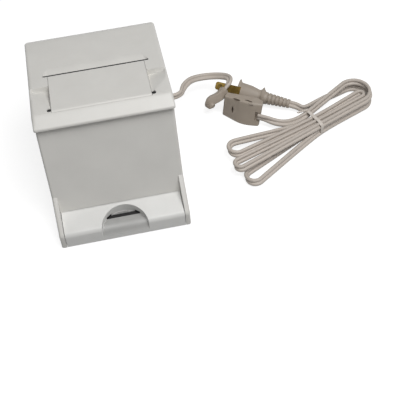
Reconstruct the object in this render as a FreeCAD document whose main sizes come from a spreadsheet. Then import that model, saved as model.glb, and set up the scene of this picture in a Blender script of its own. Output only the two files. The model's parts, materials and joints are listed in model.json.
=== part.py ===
import FreeCAD, Part

import math
import os
import re

import Sketcher
from FreeCAD import Placement, Rotation, Vector

os.makedirs("parts", exist_ok=True)
doc = FreeCAD.newDocument("cartridge_warmer")

# Driving dimensions, in millimetres and degrees. Y runs from the front (-) to the rear (+), Z up.
SIZES = {
    # casing
    "total_depth": 124.0,
    "cap_width": 95.0,
    "parting_height": 86.5,
    "cap_rise": 6.9,
    "cap_overhang": 0.7,
    "wall": 2.2,
    "ground_gap": 0.8,
    "apron_height": 12.5,
    "cheek_round": 1.6,
    "cheek_slope": 42.9,
    "cheek_thickness": 3.6,
    "panel_setback": 35.0,
    "panel_lean": 14.55,
    "panel_foot": 19.1,
    "rear_corner": 4.0,
    # cap
    "cap_nose": 3.8,
    "cap_nose_height": 1.7,
    "crest_setback": 40.2,
    "top_slope": 2.43,
    "rear_bevel": 4.0,
    "rear_bevel_drop": 2.0,
    "side_round": 2.5,
    "seat_depth": 2.4,
    "valley_depth": 2.3,
    "valley_bowl": 10.0,
    "valley_setback": 63.5,
    "valley_length": 34.0,
    "valley_reach": 10.0,
    "scoop_margin": 2.8,
    "scoop_length": 7.0,
    "scoop_depth": 2.1,
    "cap_skin": 2.2,
    "tongue_depth": 3.0,
    "tongue_thickness": 1.6,
    "relief_diameter": 2.4,
    "relief_margin": 0.4,
    "relief_depth": 3.4,
    # flap
    "flap_width": 67.4,
    "flap_length": 35.3,
    "flap_thickness": 2.0,
    "barrel_radius": 2.4,
    "pin_diameter": 2.0,
    "pin_lug": 4.0,
    "flap_gap": 0.4,
    "finger_gap": 1.5,
    "mouth_length": 28.5,
    "mouth_ledge": 1.4,
    # drawer
    "bar_depth": 17.4,
    "bar_front_height": 12.95,
    "bar_slope": 18.0,
    "lip_radius": 4.0,
    "bar_wall": 2.2,
    "drawer_gap": 0.3,
    "notch_radius": 16.8,
    "notch_setback": 1.3,
    "notch_floor": 10.8,
    "notch_lip": 7.2,
    "skirt_gap": 0.2,
    "notch_wall": 1.6,
    "slot_length": 29.0,
    "slot_width": 3.2,
    "slot_setback": 12.0,
    "magazine_margin": 8.3,
    "tray_wall": 1.2,
    "tray_floor": 1.6,
    "pocket_length": 22.6,
    "deck_length": 36.0,
    "deck_height": 10.6,
    "side_height": 8.7,
    "ear_width": 2.5,
    "ear_length": 3.0,
    "ear_height": 5.0,
    "drawer_travel": 32.0,
    # base
    "plate_thickness": 2.2,
    "plate_gap": 0.3,
    "foot_diameter": 10.0,
    "foot_height": 2.0,
    "foot_inset": 10.0,
    "foot_spacing": 72.0,
    "boss_diameter": 7.0,
    "boss_height": 16.0,
    "boss_front": 34.0,
    "boss_rear": 26.0,
    "boss_inset": 3.4,
    "screw_diameter": 2.9,
    "screw_length": 9.0,
    "screw_head": 5.2,
    "screw_head_height": 1.2,
    "screw_clearance": 0.05,
    # magazine and heater
    "guide_thickness": 2.0,
    "guide_gap": 0.3,
    "ramp_setback": 41.0,
    "ramp_foot": 18.0,
    "ramp_slope": 60.0,
    "ramp_headroom": 4.4,
    "ramp_thickness": 2.0,
    "ledge_width": 2.0,
    "ledge_thickness": 1.6,
    "liner_thickness": 0.8,
    "liner_length": 58.0,
    "pad_width": 56.0,
    "pad_length": 40.0,
    "pad_thickness": 1.5,
    "insulation_thickness": 4.0,
    "pad_rise": 24.0,
    "control_rise": 13.0,
    "thermostat_x": -12.0,
    "thermostat_diameter": 16.0,
    "thermostat_height": 6.0,
    "fuse_x": 12.5,
    "fuse_diameter": 4.0,
    "fuse_length": 11.0,
    "fuse_block": 6.0,
    # wiring
    "terminal_x": -8.0,
    "terminal_setback": 20.0,
    "terminal_pitch": 10.0,
    "terminal_row": 8.0,
    "terminal_well": 5.0,
    "terminal_screw_length": 3.5,
    "terminal_width": 20.0,
    "terminal_depth": 16.0,
    "terminal_height": 13.0,
    "terminal_screw": 4.0,
    "bushing_height": 20.0,
    "bushing_setback": 10.0,
    "bushing_neck": 10.0,
    "bushing_flange": 14.0,
    "bushing_sleeve": 5.2,
    "flange_thickness": 2.0,
    "clamp_inset": 11.6,
    "clamp_width": 8.0,
    "clamp_depth": 12.0,
    "cord_width": 5.8,
    "cord_thickness": 2.9,
    "cord_clearance": 0.1,
    "lead_wire": 1.8,
    "wire_exit": 5.0,
    "wire_clearance": 3.0,
    "wire_lift": 22.0,
    # tap block and lead plug
    "tap_height": 23.5,
    "tap_round": 2.5,
    "outlet_slot_width": 1.8,
    "outlet_slot_height": 6.6,
    "outlet_slot_depth": 8.0,
    "tap_exit_height": 8.5,
    "tap_exit_inset": 4.2,
    "lead_plug_height": 10.6,
    "lead_plug_base": 11.5,
    "grip_drop": 4.5,
    "lead_entry": 18.6,
    # power plug
    "plug_x": 108.5,
    "plug_y": 56.2,
    "plug_z": 9.8,
    "plug_heading": -29.5,
    "plug_pitch": 4.4,
    "plug_roll": 50.0,
    "plug_length": 21.0,
    "plug_height": 15.0,
    "plug_waist": 10.0,
    "plug_depth": 13.0,
    "grip_height": 20.6,
    "grip_depth": 14.0,
    "grip_thickness": 2.4,
    "relief_length": 20.0,
    "relief_large": 9.0,
    "relief_small": 6.6,
    "rib_gap": 1.1,
    "blade_length": 17.5,
    "blade_width": 6.35,
    "blade_thickness": 1.5,
    "blade_pitch": 12.7,
    # hank
    "waist_x": 159.5,
    "waist_y": 8.6,
    "hank_heading": 22.0,
    "hank_base": 0.8,
    "layer_gap": 0.45,
    "outer_reach": 45.8,
    "outer_lean": 30.1,
    "outer_radius": 12.2,
    "inner_radius": 3.1,
    "strand_pitch": 3.5,
    "left_reach": 66.8,
    "left_lean": 192.0,
    "middle_lean": 205.0,
    "lower_lean": 214.3,
    "upper_fold_radius": 6.4,
    "middle_fold_radius": 4.2,
    "middle_reach": 73.4,
    "lower_fold_radius": 6.2,
    "lower_reach": 70.2,
    "tie_width": 3.0,
    "tie_thickness": 0.6,
    "tie_left": 8.8,
    "tie_right": 11.6,
    "tail_length": 9.0,
    "tail_diameter": 1.8,
}

# Lengths that follow from the driving dimensions.
DERIVED = {
    "crest_height": "(parting_height + cap_rise)",
    "front": "-total_depth / 2",
    "rear": "total_depth / 2",
    "body_half": "(cap_width / 2 - cap_overhang)",
    "body_rear": "(rear - cap_overhang)",
    "inner_half": "(body_half - wall)",
    "inner_rear": "(body_rear - wall)",
    "passage_half": "(body_half - cheek_thickness)",
    "panel_rise": "tan(panel_lean)",
    "panel_y": "(front + panel_setback)",
    "panel_depth": "(wall / cos(panel_lean))",
    "cheek_tan": "tan(cheek_slope)",
    "junction_z": "((apron_height + (panel_setback - parting_height * panel_rise) * cheek_tan)"
                  " / (1 - panel_rise * cheek_tan))",
    "crest_y": "(front + crest_setback)",
    "cap_front": "(panel_y - cap_nose)",
    "rear_ledge_y": "(rear - rear_bevel)",
    "hinge_y": "(crest_y + flap_gap + barrel_radius)",
    "hinge_z": "(crest_height - barrel_radius - (hinge_y - crest_y) * tan(top_slope))",
    "flap_half": "(flap_width / 2)",
    "seat_half": "(flap_half + flap_gap)",
    "seat_front": "crest_y + flap_gap / 2",
    "flap_rear": "(hinge_y + flap_length)",
    "seat_rear": "(flap_rear + finger_gap)",
    "mouth_rear": "(flap_rear - mouth_ledge - flap_gap)",
    "mouth_front": "(mouth_rear - mouth_length)",
    "mouth_half": "(seat_half - mouth_ledge)",
    "rib_rear": "(mouth_front - 1.5)",
    "cap_void_half": "(inner_half - plate_gap - tongue_thickness)",
    "cap_void_rear": "(inner_rear - plate_gap - tongue_thickness)",
    "plate_top": "(ground_gap + plate_thickness)",
    "drawer_base": "(plate_top + drawer_gap)",
    "bar_half": "(passage_half - drawer_gap)",
    "bar_rear": "(front + bar_depth)",
    "bar_rear_height": "(bar_front_height + bar_depth * tan(bar_slope))",
    "tray_half": "(inner_half - magazine_margin - guide_thickness - guide_gap)",
    "tray_width": "(2 * tray_half)",
    "pocket_rear": "(bar_rear + pocket_length)",
    "tray_rear": "(pocket_rear + deck_length)",
    "guide_inner": "(tray_half + guide_gap)",
    "guide_outer": "(guide_inner + guide_thickness)",
    "guide_rear": "(tray_rear - drawer_travel - ear_length)",
    "ramp_y": "(front + ramp_setback)",
    "ramp_length": "((parting_height - ramp_foot - ramp_headroom) / sin(ramp_slope))",
    "plate_seam": "(panel_y - (parting_height - panel_foot) * panel_rise + panel_depth + 5)",
    "terminal_y": "(rear - terminal_setback)",
    "bushing_y": "(rear - bushing_setback)",
    "clamp_x": "(inner_half - clamp_inset)",
    "bushing_tip": "(body_half + flange_thickness + bushing_sleeve)",
}

SIDE_VIEW = Rotation(Vector(0, 1, 0), Vector(0, 0, 1), Vector(1, 0, 0), "XYZ")

sheet = doc.addObject("Spreadsheet::Sheet", "sizes")
for row, (name, value) in enumerate(SIZES.items(), 1):
    sheet.set("A%d" % row, name)
    sheet.set("B%d" % row, str(value))
    sheet.setAlias("B%d" % row, name)
doc.recompute()


def formula(text):
    """Turn a formula of plain names into one that reads the sheet."""
    def named(match):
        word = match.group(0)
        if word in SIZES:
            return "sizes." + word
        if word in DERIVED:
            return "(" + formula(DERIVED[word]) + ")"
        return word
    return re.sub(r"[a-z_][a-z_0-9]*", named, text)


def number(text):
    """The value of a formula, read from the sheet."""
    return float(sheet.evalExpression(formula(str(text))))


def point(*texts):
    return Vector(*[number(text) for text in texts])


def bind(thing, **formulas):
    """Bind properties to formulas; a double underscore stands for a dot."""
    for key, text in formulas.items():
        thing.setExpression(key.replace("__", "."), formula(str(text)))
    return thing


def label(thing, name):
    thing.Label = name
    return thing


# Sketches

def tie(sketch, kind, geometry, place, text):
    """One dimension of a sketch, bound to a formula."""
    start = number(text)
    if kind == "Radius":
        index = sketch.addConstraint(Sketcher.Constraint(kind, geometry, start))
    else:
        index = sketch.addConstraint(Sketcher.Constraint(kind, -1, 1, geometry, place, start))
    sketch.setExpression("Constraints[%d]" % index, formula(text))


def draw_polygon(sketch, corners):
    """A closed polygon whose corners are bound to formulas."""
    spots = [Vector(number(a), number(b), 0) for a, b in corners]
    first = sketch.GeometryCount
    count = len(spots)
    for i in range(count):
        sketch.addGeometry(Part.LineSegment(spots[i], spots[(i + 1) % count]))
    for i in range(count):
        sketch.addConstraint(
            Sketcher.Constraint("Coincident", first + i, 2, first + (i + 1) % count, 1))
    for i, (a, b) in enumerate(corners):
        tie(sketch, "DistanceX", first + i, 1, a)
        tie(sketch, "DistanceY", first + i, 1, b)


def draw_lipped_box(sketch, front, low, rear, high, radius):
    """A rectangle in side view whose upper front corner is a quarter circle."""
    corners = [(front, low), (rear, low), (rear, high), (front + " + " + radius, high)]
    spots = [Vector(number(a), number(b), 0) for a, b in corners]
    turn = number(radius)
    lip = Vector(spots[0].x, spots[3].y - turn, 0)
    for i in range(3):
        sketch.addGeometry(Part.LineSegment(spots[i], spots[i + 1]))
    circle = Part.Circle(spots[3] - Vector(0, turn, 0), Vector(0, 0, 1), turn)
    sketch.addGeometry(Part.ArcOfCircle(circle, math.pi / 2, math.pi))
    sketch.addGeometry(Part.LineSegment(lip, spots[0]))
    for i in range(5):
        sketch.addConstraint(Sketcher.Constraint("Coincident", i, 2, (i + 1) % 5, 1))
    for i, (a, b) in enumerate(corners):
        tie(sketch, "DistanceX", i, 1, a)
        tie(sketch, "DistanceY", i, 1, b)
    tie(sketch, "Radius", 3, 0, radius)
    sketch.addConstraint(Sketcher.Constraint("Vertical", 4))


def draw_circle(sketch, centre, radius):
    a, b = centre
    spot = Vector(number(a), number(b), 0)
    index = sketch.addGeometry(Part.Circle(spot, Vector(0, 0, 1), number(radius)))
    tie(sketch, "DistanceX", index, 3, a)
    tie(sketch, "DistanceY", index, 3, b)
    tie(sketch, "Radius", index, 3, radius)


def body_sketch(body, name, role, offset="0"):
    """A sketch on one of the body's own origin planes, moved off it by a formula."""
    sketch = body.newObject("Sketcher::SketchObject", name)
    plane = [item for item in body.Origin.OriginFeatures if item.Role == role][0]
    sketch.AttachmentSupport = [(plane, "")]
    sketch.MapMode = "FlatFace"
    bind(sketch, AttachmentOffset__Base__z=offset)
    return sketch


def new_body(name):
    return label(doc.addObject("PartDesign::Body", name), name)


def feature(body, kind, sketch, length, side="Symmetric", reverse=False):
    """A pad or a pocket of a sketch; its length is a formula."""
    item = body.newObject("PartDesign::" + kind, kind.lower())
    item.Profile = sketch
    item.SideType = side
    item.Reversed = reverse
    bind(item, Length=length)
    sketch.Visibility = False
    return item


def side_profile(body, kind, name, corners, width):
    """A pad or pocket of a side-view polygon, centred on the middle plane."""
    sketch = body_sketch(body, name, "YZ_Plane")
    draw_polygon(sketch, corners)
    return feature(body, kind, sketch, width)


def round_edges(body, radius, wanted):
    """Fillet the edges of the body's tip that pass a test."""
    doc.recompute()
    tip = body.Tip
    names = ["Edge%d" % (i + 1) for i, edge in enumerate(tip.Shape.Edges) if wanted(edge)]
    fillet = body.newObject("PartDesign::Fillet", "fillet")
    fillet.Base = (tip, names)
    bind(fillet, Radius=radius)
    doc.recompute()
    return fillet


def is_along(edge, axis):
    start, end = edge.Vertexes[0].Point, edge.Vertexes[-1].Point
    run = end - start
    return run.Length > 1e-6 and abs(run.normalize().dot(axis)) > 0.999


# Part primitives

def box(name, x, y, z, length, width, height):
    item = doc.addObject("Part::Box", name)
    return bind(item, Length=length, Width=width, Height=height,
                Placement__Base__x=x, Placement__Base__y=y, Placement__Base__z=z)


def cylinder(name, x, y, z, diameter, height, axis="z"):
    """A cylinder from its base centre along an axis."""
    item = doc.addObject("Part::Cylinder", name)
    turn = {"z": Rotation(), "x": Rotation(Vector(0, 1, 0), 90), "y": Rotation(Vector(1, 0, 0), -90)}
    item.Placement = Placement(Vector(), turn[axis])
    return bind(item, Radius="(%s) / 2" % diameter, Height=height,
                Placement__Base__x=x, Placement__Base__y=y, Placement__Base__z=z)


def extrusion(name, corners, length, offset="0", centred=False):
    """A straight extrusion along X of a polygon drawn in side view."""
    sketch = doc.addObject("Sketcher::SketchObject", name + "_outline")
    sketch.Placement = Placement(Vector(), SIDE_VIEW)
    draw_polygon(sketch, corners)
    bind(sketch, Placement__Base__x=offset)
    item = doc.addObject("Part::Extrusion", name)
    item.Base = sketch
    item.DirMode = "Normal"
    item.Solid = True
    item.Symmetric = centred
    return bind(item, LengthFwd=length)


def join(name, pieces):
    item = doc.addObject("Part::MultiFuse", name)
    item.Shapes = pieces
    item.Refine = True
    return label(item, name)


def cut(name, base, tools):
    """The base without the tools."""
    item = doc.addObject("Part::Cut", name)
    item.Base = base
    if len(tools) == 1:
        item.Tool = tools[0]
    else:
        group = doc.addObject("Part::MultiFuse", name + "_tools")
        group.Shapes = tools
        item.Tool = group
    return label(item, name)


def group(name, pieces):
    item = doc.addObject("Part::Compound", name)
    item.Links = pieces
    return label(item, name)


def shape_feature(name, shape):
    """A sub-part whose shape is worked out from numbers read from the sheet."""
    item = doc.addObject("Part::Feature", name)
    item.Shape = shape
    item.Placement = Placement()
    return label(item, name)


# Heights on the cap's sloping top and on the leaning panel

def top(y, drop="0"):
    return "(crest_height - ((%s) - crest_y) * tan(top_slope) - (%s))" % (y, drop)


def panel(z, inward="0"):
    """Depth of the panel's front face at a height, moved inward by a distance."""
    return "(panel_y - (parting_height - (%s)) * panel_rise + (%s))" % (z, inward)


# Casing

def make_housing():
    """Sides, leaning front panel and rear in one shell, with a cheek on each side of the drawer."""
    body = new_body("housing")
    outer = [("front", "ground_gap"), ("front", "apron_height"),
             (panel("junction_z"), "junction_z"), ("panel_y", "parting_height"),
             ("body_rear", "parting_height"), ("body_rear", "ground_gap")]
    side_profile(body, "Pad", "housing_side", outer, "2 * body_half")
    rear = number("body_rear")
    half = number("body_half")
    round_edges(body, "rear_corner", lambda edge: is_along(edge, Vector(0, 0, 1))
                and abs(edge.CenterOfMass.y - rear) < 0.01 and abs(edge.CenterOfMass.x) > half - 0.01)
    front = number("front")
    round_edges(body, "lip_radius", lambda edge: is_along(edge, Vector(1, 0, 0))
                and abs(edge.CenterOfMass.y - front) < 0.01 and edge.CenterOfMass.z > 5)
    round_edges(body, "cheek_round", lambda edge: abs(edge.CenterOfMass.x) > half - 0.01
                and edge.BoundBox.YMax < number("panel_y") + 0.1 and edge.BoundBox.ZLength > 0.5)
    inside = [(panel("panel_foot", "panel_depth"), "ground_gap - 1"),
              (panel("panel_foot", "panel_depth"), "panel_foot"),
              (panel("parting_height + 1", "panel_depth"), "parting_height + 1"),
              ("inner_rear", "parting_height + 1"), ("inner_rear", "ground_gap - 1")]
    side_profile(body, "Pocket", "housing_inside", inside, "2 * inner_half")
    over = "(junction_z + 8)"
    passage = [("front - 1", "ground_gap - 1"), (panel("panel_foot", "panel_depth + 1"), "ground_gap - 1"),
               (panel("panel_foot", "panel_depth + 1"), "panel_foot"), (panel("panel_foot"), "panel_foot"),
               (panel(over), over), ("front - 1", over)]
    side_profile(body, "Pocket", "housing_passage", passage, "2 * passage_half")
    bosses = body_sketch(body, "housing_bosses", "XY_Plane", "plate_top")
    for x, y in boss_places():
        draw_circle(bosses, (x, y), "boss_diameter / 2")
    feature(body, "Pad", bosses, "boss_height", "One side")
    pilots = body_sketch(body, "housing_pilots", "XY_Plane", "plate_top")
    for x, y in boss_places():
        draw_circle(pilots, (x, y), "screw_diameter / 2 + screw_clearance")
    feature(body, "Pocket", pilots, "screw_length", "One side", True)
    hole = body_sketch(body, "housing_cord_hole", "YZ_Plane", "inner_half - 1")
    draw_circle(hole, ("bushing_y", "bushing_height"), "bushing_neck / 2 + screw_clearance")
    feature(body, "Pocket", hole, "wall + 2", "One side", True)


def boss_places():
    """Centres of the four base screws."""
    across = "(inner_half - boss_inset)"
    return [(sign + across, y) for sign in ("-", "") for y in ("front + boss_front", "rear - boss_rear")]


def make_cap():
    """Top cap: sloping top, flap seat and mouth, side valleys, finger scoop and tongue."""
    body = new_body("cap")
    outer = [("cap_front", "parting_height"), ("cap_front", "parting_height + cap_nose_height"),
             ("crest_y", "crest_height"), ("rear_ledge_y", top("rear_ledge_y")),
             ("rear", top("rear_ledge_y", "rear_bevel_drop")), ("rear", "parting_height")]
    side_profile(body, "Pad", "cap_side", outer, "cap_width")
    half = number("cap_width / 2")
    low = number("parting_height") + 0.01
    round_edges(body, "rear_corner", lambda edge: is_along(edge, Vector(0, 0, 1))
                and edge.CenterOfMass.y > 0)
    nose = number("cap_front") + 0.01
    round_edges(body, "side_round", lambda edge: abs(edge.CenterOfMass.x) > half - 0.3
                and (edge.BoundBox.ZMin > low and not is_along(edge, Vector(0, 0, 1))
                     or edge.BoundBox.YMax < nose))
    tongue = [(panel("parting_height", "panel_depth + plate_gap"), "parting_height - tongue_depth"),
              (panel("parting_height", "panel_depth + plate_gap"), "parting_height + 0.5"),
              ("inner_rear - plate_gap", "parting_height + 0.5"),
              ("inner_rear - plate_gap", "parting_height - tongue_depth")]
    side_profile(body, "Pad", "cap_tongue", tongue, "2 * (inner_half - plate_gap)")
    void_top = "(parting_height + 1.5)"
    void = [("rib_rear", "parting_height - tongue_depth - 1"), ("rib_rear", void_top),
            ("front + 90", void_top), ("front + 90", top("front + 90", "cap_skin")),
            ("cap_void_rear", top("cap_void_rear", "cap_skin")),
            ("cap_void_rear", "parting_height - tongue_depth - 1")]
    side_profile(body, "Pocket", "cap_void", void, "2 * cap_void_half")
    barrel_floor = "(hinge_z - barrel_radius - flap_gap)"
    seat = [("seat_front", "crest_height + 2"), ("seat_front", barrel_floor),
            ("hinge_y + barrel_radius + flap_gap", barrel_floor),
            ("hinge_y + barrel_radius + flap_gap", top("hinge_y + barrel_radius + flap_gap", "seat_depth")),
            ("seat_rear", top("seat_rear", "seat_depth")), ("seat_rear", "crest_height + 2")]
    side_profile(body, "Pocket", "cap_seat", seat, "2 * seat_half")
    for sign in ("-", ""):
        cut_valley(body, sign)
    scoop = [("seat_rear - 0.5", top("seat_rear", "scoop_depth")), ("seat_rear", top("seat_rear", "scoop_depth")),
             ("seat_rear + scoop_length", top("seat_rear + scoop_length")),
             ("seat_rear + scoop_length", "crest_height + 2"), ("seat_rear - 0.5", "crest_height + 2")]
    side_profile(body, "Pocket", "cap_scoop", scoop, "2 * (flap_half + scoop_margin)")
    mouth = [("mouth_front", "parting_height - 5"), ("mouth_front", "crest_height + 2"),
             ("mouth_rear", "crest_height + 2"), ("mouth_rear", "parting_height - 5")]
    side_profile(body, "Pocket", "cap_mouth", mouth, "2 * mouth_half")
    pin = body_sketch(body, "cap_pin_bore", "YZ_Plane")
    draw_circle(pin, ("hinge_y", "hinge_z"), "pin_diameter / 2 + screw_clearance")
    feature(body, "Pocket", pin, "2 * (seat_half + pin_lug)")
    relief = body_sketch(body, "cap_relief", "XY_Plane", "crest_height - relief_depth")
    for sign in ("-", ""):
        draw_circle(relief, (sign + "(flap_half + relief_margin)", "hinge_y"), "relief_diameter / 2")
    feature(body, "Pocket", relief, "relief_depth + 2", "One side", True)


def cut_valley(body, sign):
    """A shallow bowl beside the flap, cut by an ellipsoid whose middle is above the flap's edge."""
    bowl = body.newObject("PartDesign::SubtractiveEllipsoid", "cap_valley")
    plane = [item for item in body.Origin.OriginFeatures if item.Role == "XY_Plane"][0]
    bowl.AttachmentSupport = [(plane, "")]
    bowl.MapMode = "FlatFace"
    middle = "(front + valley_setback)"
    spread = "sqrt(1 - (1 - valley_depth / valley_bowl)^2)"
    bind(bowl, Radius1="valley_bowl", Radius2="valley_reach / %s" % spread,
         Radius3="valley_length / 2 / %s" % spread,
         AttachmentOffset__Base__x=sign + "(seat_half - 1.5)", AttachmentOffset__Base__y=middle,
         AttachmentOffset__Base__z=top(middle, "valley_depth") + " + valley_bowl")


def make_flap():
    """Loading flap: a plate with a hinge barrel along its front edge."""
    body = new_body("flap")
    tangent_y = "(hinge_y + barrel_radius * sin(top_slope))"
    plate = [(tangent_y, top(tangent_y, "0.03")), ("flap_rear", top("flap_rear", "0.03")),
             ("flap_rear", top("flap_rear", "0.03 + flap_thickness")),
             (tangent_y, top(tangent_y, "0.03 + flap_thickness"))]
    side_profile(body, "Pad", "flap_side", plate, "flap_width")
    barrel = body_sketch(body, "flap_barrel", "YZ_Plane")
    draw_circle(barrel, ("hinge_y", "hinge_z"), "barrel_radius")
    feature(body, "Pad", barrel, "flap_width")
    bore = body_sketch(body, "flap_bore", "YZ_Plane")
    draw_circle(bore, ("hinge_y", "hinge_z"), "pin_diameter / 2 + screw_clearance")
    feature(body, "Pocket", bore, "flap_width + 2")


def make_hinge_pin():
    reach = "(seat_half + pin_lug)"
    label(cylinder("hinge_pin", "-" + reach, "hinge_y", "hinge_z", "pin_diameter", "2 * " + reach, "x"),
          "hinge_pin")


# Drawer

def make_drawer_front():
    """Bar with a rounded lip, a half-round finger notch and a finger slot in the notch's floor."""
    body = new_body("drawer_front")
    outer = [("front", "drawer_base"), ("front", "bar_front_height"),
             ("bar_rear", "bar_rear_height"), ("bar_rear", "drawer_base")]
    side_profile(body, "Pad", "bar_side", outer, "2 * bar_half")
    front = number("front")
    round_edges(body, "lip_radius", lambda edge: is_along(edge, Vector(1, 0, 0))
                and abs(edge.CenterOfMass.y - front) < 0.01 and edge.CenterOfMass.z > 8)
    notch = body_sketch(body, "bar_notch", "XY_Plane", "drawer_base - 1")
    draw_circle(notch, ("0", "front - notch_setback"), "notch_radius")
    feature(body, "Pocket", notch, "bar_rear_height", "One side", True)
    floor = body_sketch(body, "bar_notch_floor", "YZ_Plane")
    draw_lipped_box(floor, "front", "drawer_base", "front + notch_radius", "notch_floor", "notch_lip")
    feature(body, "Pad", floor, "2 * (notch_radius + notch_wall / 2)")
    skirt = [("front", "ground_gap + skirt_gap"), ("front", "drawer_base + 0.5"),
             ("front + bar_wall", "drawer_base + 0.5"), ("front + bar_wall", "ground_gap + skirt_gap")]
    side_profile(body, "Pad", "bar_skirt", skirt, "2 * bar_half")
    curve = "(notch_lip - bar_wall)"
    low = [("front + bar_wall", "drawer_base - 1"), ("front + bar_wall", "notch_floor - notch_lip"),
           ("front + notch_lip - %s * cos(45)" % curve, "notch_floor - notch_lip + %s * sin(45)" % curve),
           ("front + notch_lip", "notch_floor - bar_wall"),
           ("bar_rear - bar_wall", "notch_floor - bar_wall"), ("bar_rear - bar_wall", "drawer_base - 1")]
    side_profile(body, "Pocket", "bar_low_hollow", low, "2 * (bar_half - bar_wall)")
    roof_start = "(front + bar_wall + lip_radius / 2)"
    roof = "(bar_front_height + bar_wall * tan(bar_slope) - bar_wall)"
    high = [(roof_start, "drawer_base"), (roof_start, roof),
            ("bar_rear - bar_wall", "bar_rear_height - bar_wall * 1.5"), ("bar_rear - bar_wall", "drawer_base")]
    hollow = "bar_half - bar_wall - notch_radius - notch_wall"
    sketch = body_sketch(body, "bar_right_hollow", "YZ_Plane", "notch_radius + notch_wall")
    draw_polygon(sketch, high)
    feature(body, "Pocket", sketch, hollow, "One side", True)
    sketch = body_sketch(body, "bar_left_hollow", "YZ_Plane", "-(notch_radius + notch_wall)")
    draw_polygon(sketch, high)
    feature(body, "Pocket", sketch, hollow, "One side", False)
    slot = body_sketch(body, "bar_slot", "XY_Plane", "notch_floor + 1")
    half, across = "(slot_length / 2 - slot_width / 2)", "(slot_width / 2)"
    draw_polygon(slot, [("-" + half, "front + slot_setback - " + across),
                        (half, "front + slot_setback - " + across),
                        (half, "front + slot_setback + " + across),
                        ("-" + half, "front + slot_setback + " + across)])
    feature(body, "Pocket", slot, "bar_wall + 2", "One side")
    for sign in ("-", ""):
        end = body_sketch(body, "bar_slot_end", "XY_Plane", "notch_floor + 1")
        draw_circle(end, (sign + half, "front + slot_setback"), "slot_width / 2")
        feature(body, "Pocket", end, "bar_wall + 2", "One side")


def make_drawer_tray():
    """Tray behind the bar: a pocket for the cartridges and a deck that closes the magazine."""
    floor = box("tray_floor_plate", "-tray_half", "bar_rear", "drawer_base",
                "tray_width", "pocket_length + tray_wall", "tray_floor")
    sides = [box("tray_side", x, "bar_rear", "drawer_base", "tray_wall", "pocket_length + deck_length",
                 "side_height") for x in ("-tray_half", "tray_half - tray_wall")]
    wall = box("tray_rear_wall", "-tray_half", "pocket_rear", "drawer_base",
               "tray_width", "tray_wall", "deck_height + tray_floor")
    deck = box("tray_deck", "-tray_half", "pocket_rear", "drawer_base + deck_height",
               "tray_width", "deck_length", "tray_floor")
    webs = [box("tray_web", x, "pocket_rear", "drawer_base", "tray_wall", "deck_length", "deck_height + 0.5")
            for x in ("-tray_half", "tray_half - tray_wall")]
    ears = [box("tray_ear", x, "tray_rear - ear_length", "drawer_base + 1.7", "ear_width + tray_wall",
                "ear_length", "ear_height") for x in ("-tray_half - ear_width", "tray_half - tray_wall")]
    join("drawer_tray", [floor, wall, deck] + sides + webs + ears)


# Base

def make_base_plate():
    """Floor of the casing; its front edge shows below the drawer bar."""
    start = "(front + bar_wall + plate_gap)"
    front_part = box("plate_front", "-passage_half + plate_gap", start, "ground_gap",
                     "2 * (passage_half - plate_gap)", "plate_seam + 1 - " + start, "plate_thickness")
    rear_part = box("plate_rear", "-inner_half + plate_gap", "plate_seam", "ground_gap",
                    "2 * (inner_half - plate_gap)", "inner_rear - plate_gap - plate_seam", "plate_thickness")
    plate = join("plate_blank", [front_part, rear_part])
    tools = []
    for x, y in foot_places():
        tools.append(cylinder("foot_recess", x, y, "0", "foot_diameter + 0.1", "foot_height"))
    for x, y in boss_places():
        tools.append(cylinder("head_recess", x, y, "0", "screw_head + 0.2", "ground_gap + screw_head_height"))
        tools.append(cylinder("screw_hole", x, y, "0", "screw_diameter + 0.4", "plate_top + 1"))
    cut("base_plate", plate, tools)


def foot_places():
    across = "foot_spacing / 2"
    return [(sign + across, y) for sign in ("-", "") for y in ("front + foot_inset", "rear - foot_inset")]


def make_feet():
    group("feet", [cylinder("foot", x, y, "0", "foot_diameter", "foot_height") for x, y in foot_places()])


def make_base_screws():
    """Pan head screws through the base plate into the housing's bosses."""
    pieces = []
    for x, y in boss_places():
        head = cylinder("screw_head_disc", x, y, "ground_gap", "screw_head", "screw_head_height")
        shank = cylinder("screw_shank", x, y, "ground_gap", "screw_diameter",
                         "screw_head_height + screw_length")
        pieces.append(join("base_screw", [head, shank]))
    group("base_screws", pieces)


# Magazine and heater, placed along the ramp

def ramp_box(name, x, width, along, length, off, thickness):
    """A box on the ramp: along is the distance up the slope, off the distance above its top face."""
    item = doc.addObject("Part::Box", name)
    item.Placement = Placement(Vector(), Rotation(Vector(1, 0, 0), 1))
    return bind(item, Length=width, Width=length, Height=thickness, Placement__Rotation__Angle="ramp_slope",
                Placement__Base__x=x, Placement__Base__y=ramp_at(along, off)[0],
                Placement__Base__z=ramp_at(along, off)[1])


def ramp_at(along, off):
    y = "(ramp_y + (%s) * cos(ramp_slope) - (%s) * sin(ramp_slope))" % (along, off)
    z = "(ramp_foot + (%s) * sin(ramp_slope) + (%s) * cos(ramp_slope))" % (along, off)
    return y, z


def make_guide(name, sign):
    """Side plate of the magazine with a ledge that carries the heated ramp."""
    low = "plate_top"
    high = "(ramp_foot + ramp_length * sin(ramp_slope) - 0.6)"
    corners = [("bar_rear + 4.5", low), ("guide_rear", low), ("guide_rear", "ramp_foot - 2"),
               ("ramp_y + (%s - ramp_foot) / tan(ramp_slope) + 5" % high, high),
               (panel(high, "panel_depth + plate_gap"), high),
               (panel("panel_foot + 4", "panel_depth + plate_gap"), "panel_foot + 4"),
               ("bar_rear + 4.5", "panel_foot - 1")]
    start = "guide_inner" if sign > 0 else "-guide_outer"
    plate = extrusion(name + "_plate", corners, "guide_thickness", start)
    ledge_x = "guide_inner - ledge_width" if sign > 0 else "-guide_inner - 0.5"
    ledge = ramp_box(name + "_ledge", ledge_x, "ledge_width + 0.5", "4", "ramp_length - 8",
                     "-ramp_thickness - ledge_thickness", "ledge_thickness")
    join(name, [plate, ledge])


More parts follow.
